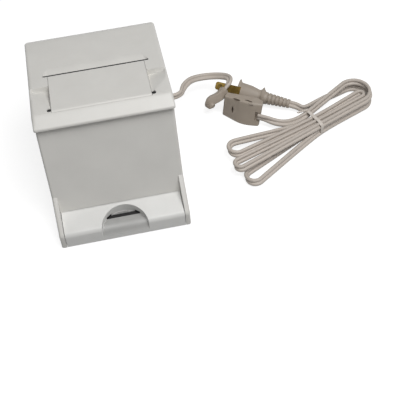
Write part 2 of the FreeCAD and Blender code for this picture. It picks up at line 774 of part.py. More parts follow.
def make_heater():
    """Heated ramp with its pad, insulation, thermostat and thermal fuse."""
    half = "(guide_inner - 0.2)"
    label(ramp_box("heater_plate", "-" + half, "2 * " + half, "0", "ramp_length", "-ramp_thickness",
                   "ramp_thickness"), "heater_plate")
    under = "(-ramp_thickness - pad_thickness)"
    label(ramp_box("heater_pad", "-pad_width / 2", "pad_width", "pad_rise", "pad_length", under,
                   "pad_thickness"), "heater_pad")
    label(ramp_box("insulation", "-pad_width / 2", "pad_width", "pad_rise", "pad_length",
                   under + " - insulation_thickness", "insulation_thickness"), "insulation")
    disc = doc.addObject("Part::Cylinder", "thermostat")
    disc.Placement = Placement(Vector(), Rotation(Vector(1, 0, 0), 1))
    y, z = ramp_at("control_rise", "-ramp_thickness - thermostat_height")
    bind(disc, Radius="thermostat_diameter / 2", Height="thermostat_height",
         Placement__Rotation__Angle="ramp_slope",
         Placement__Base__x="thermostat_x", Placement__Base__y=y, Placement__Base__z=z)
    label(disc, "thermostat")
    block = ramp_box("fuse_blank", "fuse_x - 0.5", "fuse_length + 1", "control_rise - fuse_block / 2",
                     "fuse_block", "-ramp_thickness - fuse_block", "fuse_block")
    y, z = ramp_at("control_rise", "-ramp_thickness - fuse_block / 2")
    bore = cylinder("fuse_bore", "fuse_x - 2", y, z, "fuse_diameter + 2 * screw_clearance",
                    "fuse_length + 4", "x")
    cut("fuse_holder", block, [bore])
    label(cylinder("thermal_fuse", "fuse_x", y, z, "fuse_diameter", "fuse_length", "x"), "thermal_fuse")


def make_front_liner():
    """Aluminium sheet on the panel's inner face, the front wall of the magazine."""
    low, high = "(panel_foot + 3)", "(panel_foot + 3 + liner_length)"
    corners = [(panel(low, "panel_depth"), low), (panel(high, "panel_depth"), high),
               (panel(high, "panel_depth + liner_thickness"), high),
               (panel(low, "panel_depth + liner_thickness"), low)]
    label(extrusion("front_liner", corners, "2 * (guide_inner - 0.2)", centred=True), "front_liner")


# Wiring

def make_terminals():
    """Terminal block on the base plate with two rows of screws."""
    body = box("terminal_blank", "terminal_x - terminal_width / 2", "terminal_y - terminal_depth / 2", "plate_top",
               "terminal_width", "terminal_depth", "terminal_height")
    places = [("terminal_x %s terminal_pitch / 2" % a, "terminal_y %s terminal_row / 2" % b)
              for a in "-+" for b in "-+"]
    depth = "terminal_well"
    wells = [cylinder("terminal_well", px, py, "plate_top + terminal_height - " + depth,
                      "terminal_screw + 2 * screw_clearance", depth + " + 1") for px, py in places]
    cut("terminal_block", body, wells)
    screws = [cylinder("terminal_screw_head", px, py, "plate_top + terminal_height - " + depth,
                       "terminal_screw", "terminal_screw_length") for px, py in places]
    group("terminal_screws", screws)


def stadium_prism(name, x, length, extra):
    """A straight prism of the cord's section along X, grown by a clearance."""
    core = box(name + "_core", x, "bushing_y - cord_thickness / 2 - " + extra,
               "bushing_height - (cord_width - cord_thickness) / 2", length,
               "cord_thickness + 2 * " + extra, "cord_width - cord_thickness")
    ends = [cylinder(name + "_edge", x, "bushing_y", "bushing_height %s (cord_width - cord_thickness) / 2" % sign,
                     "cord_thickness + 2 * " + extra, length, "x") for sign in "+-"]
    return join(name, [core] + ends)


def make_bushing():
    """Cord bushing: flange outside, neck through the wall, short tapered sleeve."""
    neck = cylinder("bushing_neck_rod", "inner_half - 1.5", "bushing_y", "bushing_height", "bushing_neck",
                    "wall + 1.5", "x")
    collar = cylinder("bushing_collar", "inner_half - 3", "bushing_y", "bushing_height", "bushing_neck + 2.4",
                      "3", "x")
    flange = cylinder("bushing_flange_disc", "body_half", "bushing_y", "bushing_height", "bushing_flange",
                      "flange_thickness", "x")
    sleeve = doc.addObject("Part::Cone", "bushing_sleeve_cone")
    sleeve.Placement = Placement(Vector(), Rotation(Vector(0, 1, 0), 90))
    bind(sleeve, Radius1="bushing_neck / 2", Radius2="cord_width / 2 + 1", Height="bushing_sleeve",
         Placement__Base__x="body_half + flange_thickness", Placement__Base__y="bushing_y",
         Placement__Base__z="bushing_height")
    solid = join("bushing_solid", [neck, collar, flange, sleeve])
    cut("cord_bushing", solid, [stadium_prism("bushing_bore", "inner_half - 5", "20", "cord_clearance")])


def make_clamp():
    """Post on the base plate that grips the lead inside the casing."""
    post = box("clamp_post", "clamp_x", "bushing_y - clamp_depth / 2", "plate_top", "clamp_width",
               "clamp_depth", "bushing_height + 5 - plate_top")
    cut("cord_clamp", post, [stadium_prism("clamp_bore", "clamp_x - 1", "clamp_width + 2", "cord_clearance")])


# Cords

def turned_wire(points):
    """Straight runs joined by tangent arcs; each arc uses 0.45 of its shorter run."""
    edges = []
    radii = []
    start = points[0]
    for before, corner, after in zip(points, points[1:], points[2:]):
        back, ahead = (before - corner), (after - corner)
        reach = 0.45 * min(back.Length, ahead.Length)
        half_turn = (math.pi - back.getAngle(ahead)) / 2
        radius = reach / math.tan(half_turn)
        radii.append(radius)
        first = corner + back * (reach / back.Length)
        last = corner + ahead * (reach / ahead.Length)
        inward = (first + last) / 2 - corner
        middle = corner + inward * ((radius / math.cos(half_turn) - radius) / inward.Length)
        if (first - start).Length > 1e-4:
            edges.append(Part.LineSegment(start, first).toShape())
        edges.append(Part.Arc(first, middle, last).toShape())
        start = last
    edges.append(Part.LineSegment(start, points[-1]).toShape())
    return Part.Wire(edges), radii


def cord_section(start, direction, width, thickness, upright):
    """The flat cord's outline at a point: a stadium, its long side along upright."""
    direction = Vector(direction).normalize()
    side = direction.cross(upright).normalize()
    lift = side.cross(direction).normalize()
    core, radius = (width - thickness) / 2, thickness / 2
    if core < 1e-6:
        return Part.Wire(Part.makeCircle(radius, start, direction))
    tops = [start + lift * core, start - lift * core]
    a, b = tops[0] - side * radius, tops[0] + side * radius
    c, d = tops[1] + side * radius, tops[1] - side * radius
    return Part.Wire([Part.Arc(a, tops[0] + lift * radius, b).toShape(), Part.LineSegment(b, c).toShape(),
                      Part.Arc(c, tops[1] - lift * radius, d).toShape(), Part.LineSegment(d, a).toShape()])


def cord_solid(name, wire, width, thickness):
    """Sweep the cord's section along a wire and check its volume against section times length."""
    first = wire.Edges[0]
    start = first.valueAt(first.FirstParameter)
    direction = first.tangentAt(first.FirstParameter)
    profile = cord_section(start, direction, width, thickness, Vector(0, 0, 1))
    shell = Part.BRepOffsetAPI.MakePipeShell(wire)
    shell.add(profile)
    shell.build()
    shell.makeSolid()
    solid = shell.shape()
    if solid.ShapeType != "Solid":
        solid = Part.Solid(solid.Shells[0])
    if solid.Volume < 0:
        solid.reverse()
    area = (width - thickness) * thickness + math.pi * thickness ** 2 / 4
    print("%s: volume over section times length %.3f" % (name, solid.Volume / (area * wire.Length)))
    return solid


def make_cord(name, points, width="cord_width", thickness="cord_thickness"):
    wire, radii = turned_wire([Vector(*p) for p in points])
    print("%s: bend radii %s" % (name, " ".join("%.1f" % radius for radius in radii)))
    shape_feature(name, cord_solid(name, wire, number(width), number(thickness)))


def lead_points():
    """Route of the lead from the bushing over the plug blades to the lead plug."""
    tip, y, z = number("bushing_tip"), number("bushing_y"), number("bushing_height")
    corners = lead_plug_corners()
    middle, along, normal = face_frame(corners[4], corners[5])
    end = middle - Vector(0, 0, middle.z - number("lead_entry"))
    return [(tip, y, z), (tip + 7.5, y, z), (66.6, 62.0, 19.5), (73.2, 71.2, 19.0), (81.5, 74.4, 18.6),
            (91.2, 73.6, 19.4), (99.6, 68.4, 21.0), (102.0, 62.0, 22.8), (101.2, 57.2, 21.4),
            tuple(end - normal * 5.0), tuple(end)]


def inner_cord_points():
    """Route inside the casing, from the bushing through the clamp to the terminal block."""
    tip, y, z = number("bushing_tip"), number("bushing_y"), number("bushing_height")
    end_x, end_y = number("terminal_x + terminal_width / 2"), number("terminal_y")
    return [(tip, y, z), (24.5, y, z), (end_x + 10.5, end_y, 12.0), (end_x, end_y, 12.0)]


def tap_cord_start():
    """Where the cord leaves the block's short face, and the way out."""
    middle, along, normal = face_frame(TAP_CORNERS[2], TAP_CORNERS[3])
    corner = Vector(TAP_CORNERS[2][0], TAP_CORNERS[2][1], number("tap_exit_height"))
    return corner + along * number("tap_exit_inset"), normal


def tap_cord_points():
    """Route from the tap block through the tie to the hank's upper end."""
    start, normal = tap_cord_start()
    end, heading = hank_ends()[1]
    return [tuple(start), tuple(start + normal * 6.0), (129.6, 17.6, 6.6), (137.6, 15.0, 5.6),
            (146.5, 14.2, 7.4), tuple(end + heading * 7.5), tuple(end)]


def plug_cord_points():
    """Route from the plug's strain relief to the hank's lower end."""
    start = plug_at(number("plug_length + relief_length + grip_thickness"))
    end, heading = hank_ends()[0]
    return [tuple(start), tuple(start + plug_frame()[2] * 5.5), tuple(end - heading * 5.5), tuple(end)]


# Hank of flat cord: folds left and right of a drawn-in waist, in two layers

def waist_point(slot, ahead=0.0):
    """A point across the waist: slot to the left of the heading, ahead along it."""
    heading = math.radians(number("hank_heading"))
    across = Vector(-math.sin(heading), math.cos(heading), 0)
    along = Vector(math.cos(heading), math.sin(heading), 0)
    return point("waist_x", "waist_y", "0") + across * slot + along * ahead


def polar(reach, lean):
    angle = math.radians(lean)
    return point("waist_x", "waist_y", "0") + Vector(math.cos(angle), math.sin(angle), 0) * reach


def layer_height(layer):
    return number("hank_base + cord_width / 2 + (cord_width + layer_gap) * %d" % layer)


def hank_folds():
    """Folds in the order the cord takes them: centre, radius, turn (1 is anticlockwise), layer."""
    outer = polar(number("outer_reach"), number("outer_lean"))
    lean = math.radians(number("outer_lean"))
    sink = number("outer_radius - strand_pitch - inner_radius")
    inner = outer + Vector(math.sin(lean), -math.cos(lean), 0) * sink
    left = [polar(number(side + "_reach"), number(side + "_lean")) for side in ("left", "middle", "lower")]
    big, small = number("outer_radius"), number("inner_radius")
    upper, middle, lower = [number(name) for name in
                            ("upper_fold_radius", "middle_fold_radius", "lower_fold_radius")]
    return [(outer, big, -1, 0), (left[2], lower, -1, 0), (inner, small, 1, 0), (left[0], upper, 1, 1),
            (inner, small, -1, 1), (left[1], middle, 1, 1), (outer, big, 1, 1)]


WAIST_SLOTS = (-6.0, -1.5, 4.2, 1.2, -2.6, -6.4)


def touch(start, fold, turn):
    """Where a straight run from a point meets a fold's circle, entering in its turn."""
    centre, radius = fold
    gap = centre - start
    reach = math.hypot(gap.x, gap.y)
    angle = math.atan2(gap.y, gap.x) - turn * math.asin(radius / reach)
    run = math.sqrt(reach ** 2 - radius ** 2)
    return start + Vector(math.cos(angle), math.sin(angle), 0) * run


def fold_arcs(centre, radius, turn, first, last, height):
    """A fold as arcs of at most a quarter turn."""
    start = math.atan2(first.y - centre.y, first.x - centre.x)
    sweep = (math.atan2(last.y - centre.y, last.x - centre.x) - start) * turn % (2 * math.pi)
    count = max(1, math.ceil(sweep / (math.pi / 2)))

    def on(share):
        angle = start + turn * sweep * share
        return Vector(centre.x + radius * math.cos(angle), centre.y + radius * math.sin(angle), height)
    return [Part.Arc(on(k / count), on((k + 0.5) / count), on((k + 1) / count)).toShape()
            for k in range(count)]


def bent_run(first, corner, last, height, reach=12.0):
    """A run through the waist: straight, a gentle tangent arc at the slot, straight."""
    first, corner, last = [Vector(p.x, p.y, height) for p in (first, corner, last)]
    back, ahead = first - corner, last - corner
    half_turn = (math.pi - back.getAngle(ahead)) / 2
    near = corner + back * (reach / back.Length)
    far = corner + ahead * (reach / ahead.Length)
    if half_turn < 1e-4:
        return [Part.LineSegment(first, near).toShape(), Part.LineSegment(near, far).toShape()], far, last
    radius = reach / math.tan(half_turn)
    inward = (near + far) / 2 - corner
    middle = corner + inward * ((radius / math.cos(half_turn) - radius) / inward.Length)
    return [Part.LineSegment(first, near).toShape(), Part.Arc(near, middle, far).toShape()], far, last


def climb(start, end):
    """Two arcs of an S that rise from one layer to the other along a run."""
    run = Vector(end.x - start.x, end.y - start.y, 0)
    rise = end.z - start.z
    middle = (start + end) / 2
    radius = (run.Length ** 2 + rise ** 2) / (4 * rise)
    angle = math.asin(run.Length / 2 / radius) / 2
    ahead = run / run.Length
    low = start + ahead * (radius * math.sin(angle)) + Vector(0, 0, radius * (1 - math.cos(angle)))
    high = end - ahead * (radius * math.sin(angle)) - Vector(0, 0, radius * (1 - math.cos(angle)))
    return [Part.Arc(start, low, middle).toShape(), Part.Arc(middle, high, end).toShape()]


def hank_ends():
    """Both ends of the hank, each with the cord's heading along the route."""
    folds = hank_folds()
    start, end = waist_point(20.7, 9.5), waist_point(10.4, 5.3)
    ends = []
    for spot, fold, layer in ((start, folds[0], 0), (end, folds[-1], 1)):
        turn = fold[2] if layer == 0 else -fold[2]
        heading = (touch(spot, fold[:2], turn) - spot).normalize()
        spot.z = layer_height(layer)
        ends.append((spot, heading if layer == 0 else -heading))
    return ends


def hank_edges():
    """The whole route of the hank as tangent lines and arcs."""
    folds = hank_folds()
    (start, _), (end, _) = hank_ends()
    slots = [waist_point(slot) for slot in WAIST_SLOTS]
    edges = []
    level = Vector(start.x, start.y, 0)
    first = touch(level, folds[0][:2], folds[0][2])
    first.z = start.z
    edges.append(Part.LineSegment(start, first).toShape())
    for k, (centre, radius, turn, layer) in enumerate(folds):
        leave_to = slots[k] if k < len(slots) else Vector(end.x, end.y, 0)
        last = touch(leave_to, (centre, radius), -turn)
        height = layer_height(layer)
        edges += fold_arcs(centre, radius, turn, first, last, height)
        if k == len(folds) - 1:
            edges.append(Part.LineSegment(Vector(last.x, last.y, height), end).toShape())
            break
        next_centre, next_radius, next_turn, next_layer = folds[k + 1]
        arrive = touch(leave_to, (next_centre, next_radius), next_turn)
        run, far, goal = bent_run(last, leave_to, arrive, height)
        edges += run
        if next_layer == layer:
            edges.append(Part.LineSegment(far, goal).toShape())
        else:
            edges += climb(far, Vector(goal.x, goal.y, layer_height(next_layer)))
        first = arrive
    return edges


def least_gap(edges, width, thickness):
    """Least clearance of the upright flat cord to itself, measured on points 0.8 mm apart."""
    spots = []
    along = 0.0
    for edge in edges:
        count = max(2, round(edge.Length / 0.8))
        for spot in edge.discretize(count)[:-1]:
            spots.append((along, spot))
            along += edge.Length / (count - 1)
    core = width - thickness
    least = (99.0, None, None)
    for i, (here, a) in enumerate(spots):
        for there, b in spots[i + 1:]:
            if there - here > 10.0:
                gap = math.hypot(math.hypot(a.x - b.x, a.y - b.y), max(0.0, abs(a.z - b.z) - core))
                if gap - thickness < least[0]:
                    least = (gap - thickness, a, b)
    return least


def make_hank():
    edges = hank_edges()
    wire = Part.Wire(edges)
    width, thickness = number("cord_width"), number("cord_thickness")
    gap, here, there = least_gap(edges, width, thickness)
    print("hank: length %.0f, least gap to itself %.2f at %.1f %.1f %.1f and %.1f %.1f %.1f"
          % (wire.Length, gap, here.x, here.y, here.z, there.x, there.y, there.z))
    shape_feature("hank", cord_solid("hank", wire, width, thickness))


def make_twist_tie():
    """Flat band round the waist with a twisted tail."""
    reach = "(tie_left + tie_right)"
    top_height = "(hank_base + 2 * cord_width + layer_gap + 0.15)"
    outer = box("tie_outer", "0", "0", "0", "tie_width", reach + " + 2 * tie_thickness",
                top_height + " + tie_thickness - 0.1")
    inner = box("tie_inner", "0", "0", "0", "tie_width + 2", reach, top_height + " - 0.1 - tie_thickness")
    spin = Rotation(Vector(0, 0, 1), number("hank_heading"))
    outer.Placement = Placement(Vector(), spin)
    inner.Placement = Placement(Vector(), spin)
    heading, slot = "hank_heading", "(-tie_left - tie_thickness)"
    bind(outer, Placement__Rotation__Angle=heading, Placement__Base__z="0.1",
         Placement__Base__x="waist_x - %s * sin(%s) - tie_width / 2 * cos(%s)" % (slot, heading, heading),
         Placement__Base__y="waist_y + %s * cos(%s) - tie_width / 2 * sin(%s)" % (slot, heading, heading))
    slot = "(-tie_left)"
    half = "(tie_width / 2 + 1)"
    bind(inner, Placement__Rotation__Angle=heading, Placement__Base__z="0.1 + tie_thickness",
         Placement__Base__x="waist_x - %s * sin(%s) - %s * cos(%s)" % (slot, heading, half, heading),
         Placement__Base__y="waist_y + %s * cos(%s) - %s * sin(%s)" % (slot, heading, half, heading))
    band = cut("tie_band", outer, [inner])
    tail = doc.addObject("Part::Cylinder", "tie_tail")
    start = waist_point(number("tie_right") - 2.0)
    start.z = number(top_height + " + tie_thickness + tail_diameter / 2") - 0.3
    lie = Rotation(Vector(0, 0, 1), 186) * Rotation(Vector(0, 1, 0), 93)
    tail.Placement = Placement(start, lie)
    bind(tail, Radius="tail_diameter / 2", Height="tail_length")
    join("twist_tie", [band, tail])


# Tap block, lead plug and power plug

OUTLET_PLACE = (104.5, 38.0)
TAP_CORNERS = ((92.2, 42.0), (107.5, 26.3), (115.5, 21.5), (121.6, 31.0), (120.0, 36.5), (96.8, 47.0))
LEAD_PLUG_CORNERS = ((80.6, 45.6), (81.2, 48.2), (88.5, 48.6), (93.0, 51.6))
GRIP_CORNERS = ((87.0, 44.0), (80.6, 45.6), (81.2, 48.2), (86.6, 48.45))


def prism(corners, bottom, height):
    """A vertical prism on a hand-drawn plan."""
    spots = [Vector(x, y, bottom) for x, y in corners]
    return Part.Face(Part.makePolygon(spots + spots[:1])).extrude(Vector(0, 0, height))


def face_frame(start, end):
    """Middle, direction and outward normal of a plan edge."""
    a, b = Vector(start[0], start[1], 0), Vector(end[0], end[1], 0)
    along = (b - a).normalize()
    return (a + b) / 2, along, Vector(along.y, -along.x, 0)


def turned_box(centre, along, normal, sizes):
    """A box centred on a point: length along, width along the normal, height up."""
    length, width, height = sizes
    solid = Part.makeBox(length, width, height, Vector(-length / 2, -width / 2, -height / 2))
    solid.Placement = Placement(centre, Rotation(along, normal, Vector(0, 0, 1), "XYZ"))
    return solid


def lead_plug_corners():
    """Plan of the lead plug; its first and last corner lie on the tap block's rear left face."""
    middle, along, normal = face_frame(TAP_CORNERS[0], TAP_CORNERS[5])
    start = Vector(TAP_CORNERS[0][0], TAP_CORNERS[0][1], 0)
    seat = [start + along * reach for reach in (0.6, 7.6)]
    return [(seat[0].x, seat[0].y)] + list(LEAD_PLUG_CORNERS) + [(seat[1].x, seat[1].y)]


def make_tap():
    """Tap block of the extension cord, with an outlet slot in its front and one in its top."""
    solid = prism(TAP_CORNERS, 0.0, number("tap_height"))
    upright = [edge for edge in solid.Edges if is_along(edge, Vector(0, 0, 1))]
    high = number("tap_height")
    solid = solid.makeFillet(number("tap_round"), upright)
    crown = [edge for edge in solid.Edges if edge.BoundBox.ZMin > high - 0.01]
    solid = solid.makeFillet(1.0, crown)
    middle, along, normal = face_frame(TAP_CORNERS[0], TAP_CORNERS[1])
    slot = turned_box(middle + Vector(0, 0, high * 0.55), along, normal, [number(name) for name in
                      ("outlet_slot_width", "outlet_slot_depth", "outlet_slot_height")])
    oval = Part.makeCylinder(number("outlet_slot_width / 2"), number("outlet_slot_depth"),
                             Vector(*OUTLET_PLACE, high - number("outlet_slot_depth / 2")))
    shape_feature("tap_block", solid.cut([slot, oval]))


def make_tap_relief():
    """Short sleeve where the tap cord leaves the block."""
    start, direction = tap_cord_start()
    width, thickness = number("cord_width"), number("cord_thickness")
    up = Vector(0, 0, 1)
    outer = Part.Face(cord_section(start, direction, width + 3.0, thickness + 3.0, up)).extrude(direction * 3.2)
    inner = Part.Face(cord_section(start - direction, direction, width + 0.2, thickness + 0.2, up))
    shape_feature("tap_relief", outer.cut(inner.extrude(direction * 6.0)))


def make_lead_plug():
    """Flat plug at the end of the lead, with a finger grip."""
    base, height = number("lead_plug_base"), number("lead_plug_height")
    body = prism(lead_plug_corners(), base, height)
    grip = prism(GRIP_CORNERS, base - number("grip_drop"), height)
    shape_feature("lead_plug", body.fuse(grip).removeSplitter())


def plug_frame():
    """Axes of the power plug: blade width, blade spacing, and along the cord."""
    heading, pitch = math.radians(number("plug_heading")), math.radians(number("plug_pitch"))
    along = Vector(math.cos(heading) * math.cos(pitch), math.sin(heading) * math.cos(pitch), -math.sin(pitch))
    level = Vector(-math.sin(heading), math.cos(heading), 0)
    lift = along.cross(level)
    roll = math.radians(number("plug_roll"))
    wide = level * math.sin(roll) + lift * math.cos(roll)
    return wide, along.cross(wide), along


def plug_at(along):
    return point("plug_x", "plug_y", "plug_z") + plug_frame()[2] * along


def plug_oval(along, height, depth):
    """An oval section of the plug: height along the blades' width, depth along their spacing."""
    wide, spaced, axis = plug_frame()
    major, minor = (height, depth) if height >= depth else (depth, height)
    lead = wide if height >= depth else spaced
    minor = min(minor, major - 0.01)
    centre = plug_at(along)
    oval = Part.Ellipse(centre + lead * (major / 2), centre + axis.cross(lead) * (minor / 2), centre)
    return Part.Wire(oval.toShape())


def plug_loft(sections):
    return Part.makeLoft([plug_oval(*section) for section in sections], True, True)


def make_power_plug():
    """Moulded plug: two grip flanges, a body between them and a ribbed strain relief."""
    length, thick = number("plug_length"), number("grip_thickness")
    high, deep, waist = number("plug_height"), number("plug_depth"), number("plug_waist")
    grip_high, grip_deep = number("grip_height"), number("grip_depth")
    large, small = number("relief_large"), number("relief_small")
    solid = plug_loft([(0.0, grip_high, grip_deep), (thick, high + 1.0, deep + 0.5)])
    solid = solid.fuse(plug_loft([(thick * 0.5, high, deep), (length - thick, waist, deep * 0.85)]))
    solid = solid.fuse(plug_loft([(length - thick - 1.5, waist, deep * 0.8), (length, grip_high * 0.8, grip_deep)]))
    solid = solid.fuse(plug_loft([(length, grip_high * 0.8, grip_deep), (length + thick, large, large)]))
    end = length + thick + number("relief_length")
    solid = solid.fuse(plug_loft([(length + thick * 0.6, large, large * 0.9), (end, small, small * 0.8)]))
    axis = plug_frame()[2]
    gap = number("rib_gap")
    ribs = 6
    step = number("relief_length") / (ribs + 1)
    for k in range(ribs):
        at = length + thick + step * (k + 0.9)
        size = large + (small - large) * (k + 1) / ribs
        ring = Part.makeCylinder(size, gap, plug_at(at), axis).cut(
            Part.makeCylinder(size / 2 - 0.8, gap, plug_at(at), axis))
        solid = solid.cut(ring)
    shape_feature("power_plug", solid.cut(blade_solids()))


def blade_solids():
    """Two blades side by side, each sunk a little way into the plug."""
    wide, spaced, axis = plug_frame()
    sunk = 3.0
    length, width = number("blade_length") + sunk, number("blade_width")
    thick, pitch = number("blade_thickness"), number("blade_pitch")
    solids = []
    for sign in (-1, 1):
        blade = Part.makeBox(width, thick, length, Vector(-width / 2, -thick / 2, 0))
        middle = plug_at(-number("blade_length")) + spaced * (sign * pitch / 2)
        blade.Placement = Placement(middle, Rotation(wide, spaced, axis, "ZXY"))
        solids.append(blade)
    return solids


def make_plug_blades():
    shape_feature("plug_blades", Part.makeCompound(blade_solids()))


# Heater wiring

def ramp_spot(x, along, off):
    """A point in ramp coordinates."""
    return point(x, *ramp_at(along, off))


def make_heater_leads():
    """Insulated wires from the terminal block to the thermostat, heater pad and thermal fuse."""
    face = number("terminal_y - terminal_depth / 2")
    left, right = number("terminal_x - terminal_pitch / 2"), number("terminal_x + terminal_pitch / 2")
    low, high = number("plate_top + wire_exit"), number("wire_lift")
    run = (face + number("tray_rear")) / 2 + 1.0
    hop = number("tray_rear + wire_clearance")
    back = "(-ramp_thickness - thermostat_height)"
    pad_off = "(-ramp_thickness - lead_wire / 2 - 0.1)"
    fuse_off = "(-ramp_thickness - fuse_block / 2)"
    rise = "control_rise"
    routes = [
        [Vector(left, face, low), Vector(left, run, low), Vector(left - 1, hop, high),
         ramp_spot("thermostat_x - 3", rise, back + " - 9"), ramp_spot("thermostat_x - 3", rise, back)],
        [ramp_spot("thermostat_x + 3", rise, back), ramp_spot("thermostat_x + 3", rise, back + " - 5"),
         ramp_spot("1", rise + " + 1", back + " - 3"), ramp_spot("2", "pad_rise - 5", pad_off),
         ramp_spot("2", "pad_rise", pad_off)],
        [ramp_spot("6", "pad_rise", pad_off), ramp_spot("6", "pad_rise - 6", pad_off),
         ramp_spot("fuse_x - 4.5", rise, fuse_off), ramp_spot("fuse_x", rise, fuse_off)],
        [Vector(right, face, low), Vector(right, run, low), Vector(20, hop, high),
         ramp_spot("31", rise, fuse_off + " - 7"), ramp_spot("30.5", rise, fuse_off),
         ramp_spot("fuse_x + fuse_length", rise, fuse_off)],
    ]
    wires = []
    diameter = number("lead_wire")
    for k, route in enumerate(routes):
        wire, radii = turned_wire(route)
        print("heater lead %d: bend radii %s" % (k + 1, " ".join("%.1f" % radius for radius in radii)))
        wires.append(cord_solid("heater lead %d" % (k + 1), wire, diameter, diameter))
    shape_feature("heater_leads", Part.makeCompound(wires))


NODES = ("housing cap flap hinge_pin drawer_front drawer_tray base_plate feet base_screws left_guide"
         " right_guide heater_plate heater_pad insulation thermostat fuse_holder thermal_fuse front_liner"
         " terminal_block terminal_screws cord_bushing cord_clamp inner_cord heater_leads lead_cord"
         " lead_plug tap_block tap_relief tap_cord hank twist_tie plug_cord power_plug"
         " plug_blades").split()


def make_all():
    make_housing()
    make_cap()
    make_flap()
    make_hinge_pin()
    make_drawer_front()
    make_drawer_tray()
    make_base_plate()
    make_feet()
    make_base_screws()
    make_guide("left_guide", -1)
    make_guide("right_guide", 1)
    make_heater()
    make_front_liner()
    make_terminals()
    make_bushing()
    make_clamp()
    make_cord("inner_cord", inner_cord_points())
    make_cord("lead_cord", lead_points())
    make_heater_leads()
    make_tap()
    make_tap_relief()
    make_lead_plug()
    make_cord("tap_cord", tap_cord_points())
    make_hank()
    make_twist_tie()
    make_cord("plug_cord", plug_cord_points())
    make_power_plug()
    make_plug_blades()
    doc.recompute()


def check_and_write():
    """Stop on any feature that failed, then write one file for each sub-part."""
    for item in doc.Objects:
        if "Invalid" in item.State or "Error" in item.State:
            raise ValueError("%s is %s" % (item.Name, item.State))
    for name in NODES:
        item = doc.getObjectsByLabel(name)[0]
        if item.Shape.isNull() or not item.Shape.isValid():
            raise ValueError("%s has no valid shape" % name)
        solids = len(item.Shape.Solids)
        if solids == 0:
            raise ValueError("%s holds no solid" % name)
        print("%s: %d solid, volume %.0f" % (name, solids, item.Shape.Volume))
        item.Shape.exportStep("parts/%s.step" % name)


make_all()
check_and_write()
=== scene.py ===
"""Looks of a countertop warmer for anesthetic cartridges: its finishes, finer forms, cords and plugs.

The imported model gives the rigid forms. This file dresses them, shows finer forms of the cap, the drawer
bar, the plugs and the tap, lays the flat two-core cords along their routes, and sets up a pale studio.
"""

import json
import math

import bpy
import numpy as np
from mathutils import Matrix, Vector
from bpy.props import FloatProperty, FloatVectorProperty, IntProperty, PointerProperty
from bpy.types import Operator, Panel, PropertyGroup


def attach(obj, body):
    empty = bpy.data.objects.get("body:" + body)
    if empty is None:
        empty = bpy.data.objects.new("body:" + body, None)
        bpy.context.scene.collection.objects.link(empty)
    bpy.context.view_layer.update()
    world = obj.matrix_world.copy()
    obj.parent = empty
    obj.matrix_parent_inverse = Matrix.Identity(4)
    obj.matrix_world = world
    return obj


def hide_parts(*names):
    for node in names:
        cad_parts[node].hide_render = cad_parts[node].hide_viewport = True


bl_info = {
    "name": "Cartridge warmer looks",
    "version": (1, 0, 0),
    "blender": (4, 5, 0),
    "location": "3D View > Sidebar > Warmer",
    "description": "Finishes, cords and plugs of a dental cartridge warmer",
    "category": "Object",
}

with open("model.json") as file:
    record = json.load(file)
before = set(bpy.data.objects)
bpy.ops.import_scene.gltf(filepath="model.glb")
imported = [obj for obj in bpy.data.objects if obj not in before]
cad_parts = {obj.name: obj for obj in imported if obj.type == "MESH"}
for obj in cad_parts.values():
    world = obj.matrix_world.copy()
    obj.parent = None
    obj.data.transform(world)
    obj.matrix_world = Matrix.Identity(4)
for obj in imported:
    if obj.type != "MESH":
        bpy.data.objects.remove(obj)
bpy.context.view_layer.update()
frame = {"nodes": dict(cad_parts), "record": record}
NODES = frame["nodes"]
UPWARD = (0.0, 0.0, 1.0)


# Settings

def colour_setting(name, description, default):
    return FloatVectorProperty(name=name, description=description, subtype="COLOR", size=3,
                               min=0.0, max=1.0, default=default)


def length_setting(name, description, default, low, high):
    return FloatProperty(name=name, description=description, unit="LENGTH", precision=5,
                         min=low, max=high, default=default)


class CasingSettings(PropertyGroup):
    white: colour_setting("Casing", "Colour of the moulded casing", (0.700, 0.688, 0.655))
    drawer: colour_setting("Drawer", "Colour of the drawer bar and tray", (0.735, 0.732, 0.712))
    grain: length_setting("Grain", "Distance between the bumps of the moulded grain", 0.0007, 0.0001, 0.005)


class CordSettings(PropertyGroup):
    vinyl: colour_setting("Vinyl", "Colour of the cord's jacket", (0.540, 0.483, 0.430))
    width: length_setting("Width", "Width of the flat two-core cord", 0.0058, 0.003, 0.012)
    thickness: length_setting("Thickness", "Thickness of the cord over one core", 0.0029, 0.0015, 0.006)
    web: length_setting("Web", "Thickness of the web between the two cores", 0.0015, 0.0005, 0.003)


class PlugSettings(PropertyGroup):
    plastic: colour_setting("Plug", "Colour of the moulded plug and tap", (0.355, 0.300, 0.245))
    brass: colour_setting("Brass", "Colour of the blades", (0.24, 0.165, 0.045))
    ribs: IntProperty(
        name="Ribs", description="Grooves round the strain relief", min=0, max=12, default=6)
    hole: length_setting("Blade hole", "Diameter of the hole near each blade's tip", 0.0031, 0.001, 0.005)


class StageSettings(PropertyGroup):
    key: FloatProperty(
        name="Key lamp", description="Power of the softbox above", unit="POWER",
        min=0.0, max=100.0, default=10.5)
    fill: FloatProperty(
        name="Fill", description="Strength of the light from all round", min=0.0, max=2.0, default=0.10)
    floor: colour_setting("Floor", "Colour of the floor under the object", (0.42, 0.42, 0.42))


# Meshes

def unit(vectors):
    return vectors / np.linalg.norm(vectors, axis=-1, keepdims=True)


def circle(count):
    """Angles of even steps round a circle."""
    return np.arange(count) * 2 * math.pi / count


def oval_reach(a, high, wide, power):
    """Reach of the oval |u / H|^p + |v / W|^p = 1 at angle a: (|cos a / H|^p + |sin a / W|^p)^(-1/p)."""
    return (np.abs(np.cos(a) / high)**power + np.abs(np.sin(a) / wide)**power)**(-1 / power)


def around(a, reach=1.0):
    """Points at angle a and a reach from the middle: (r cos a, r sin a)."""
    return np.column_stack([reach * np.cos(a), reach * np.sin(a)])


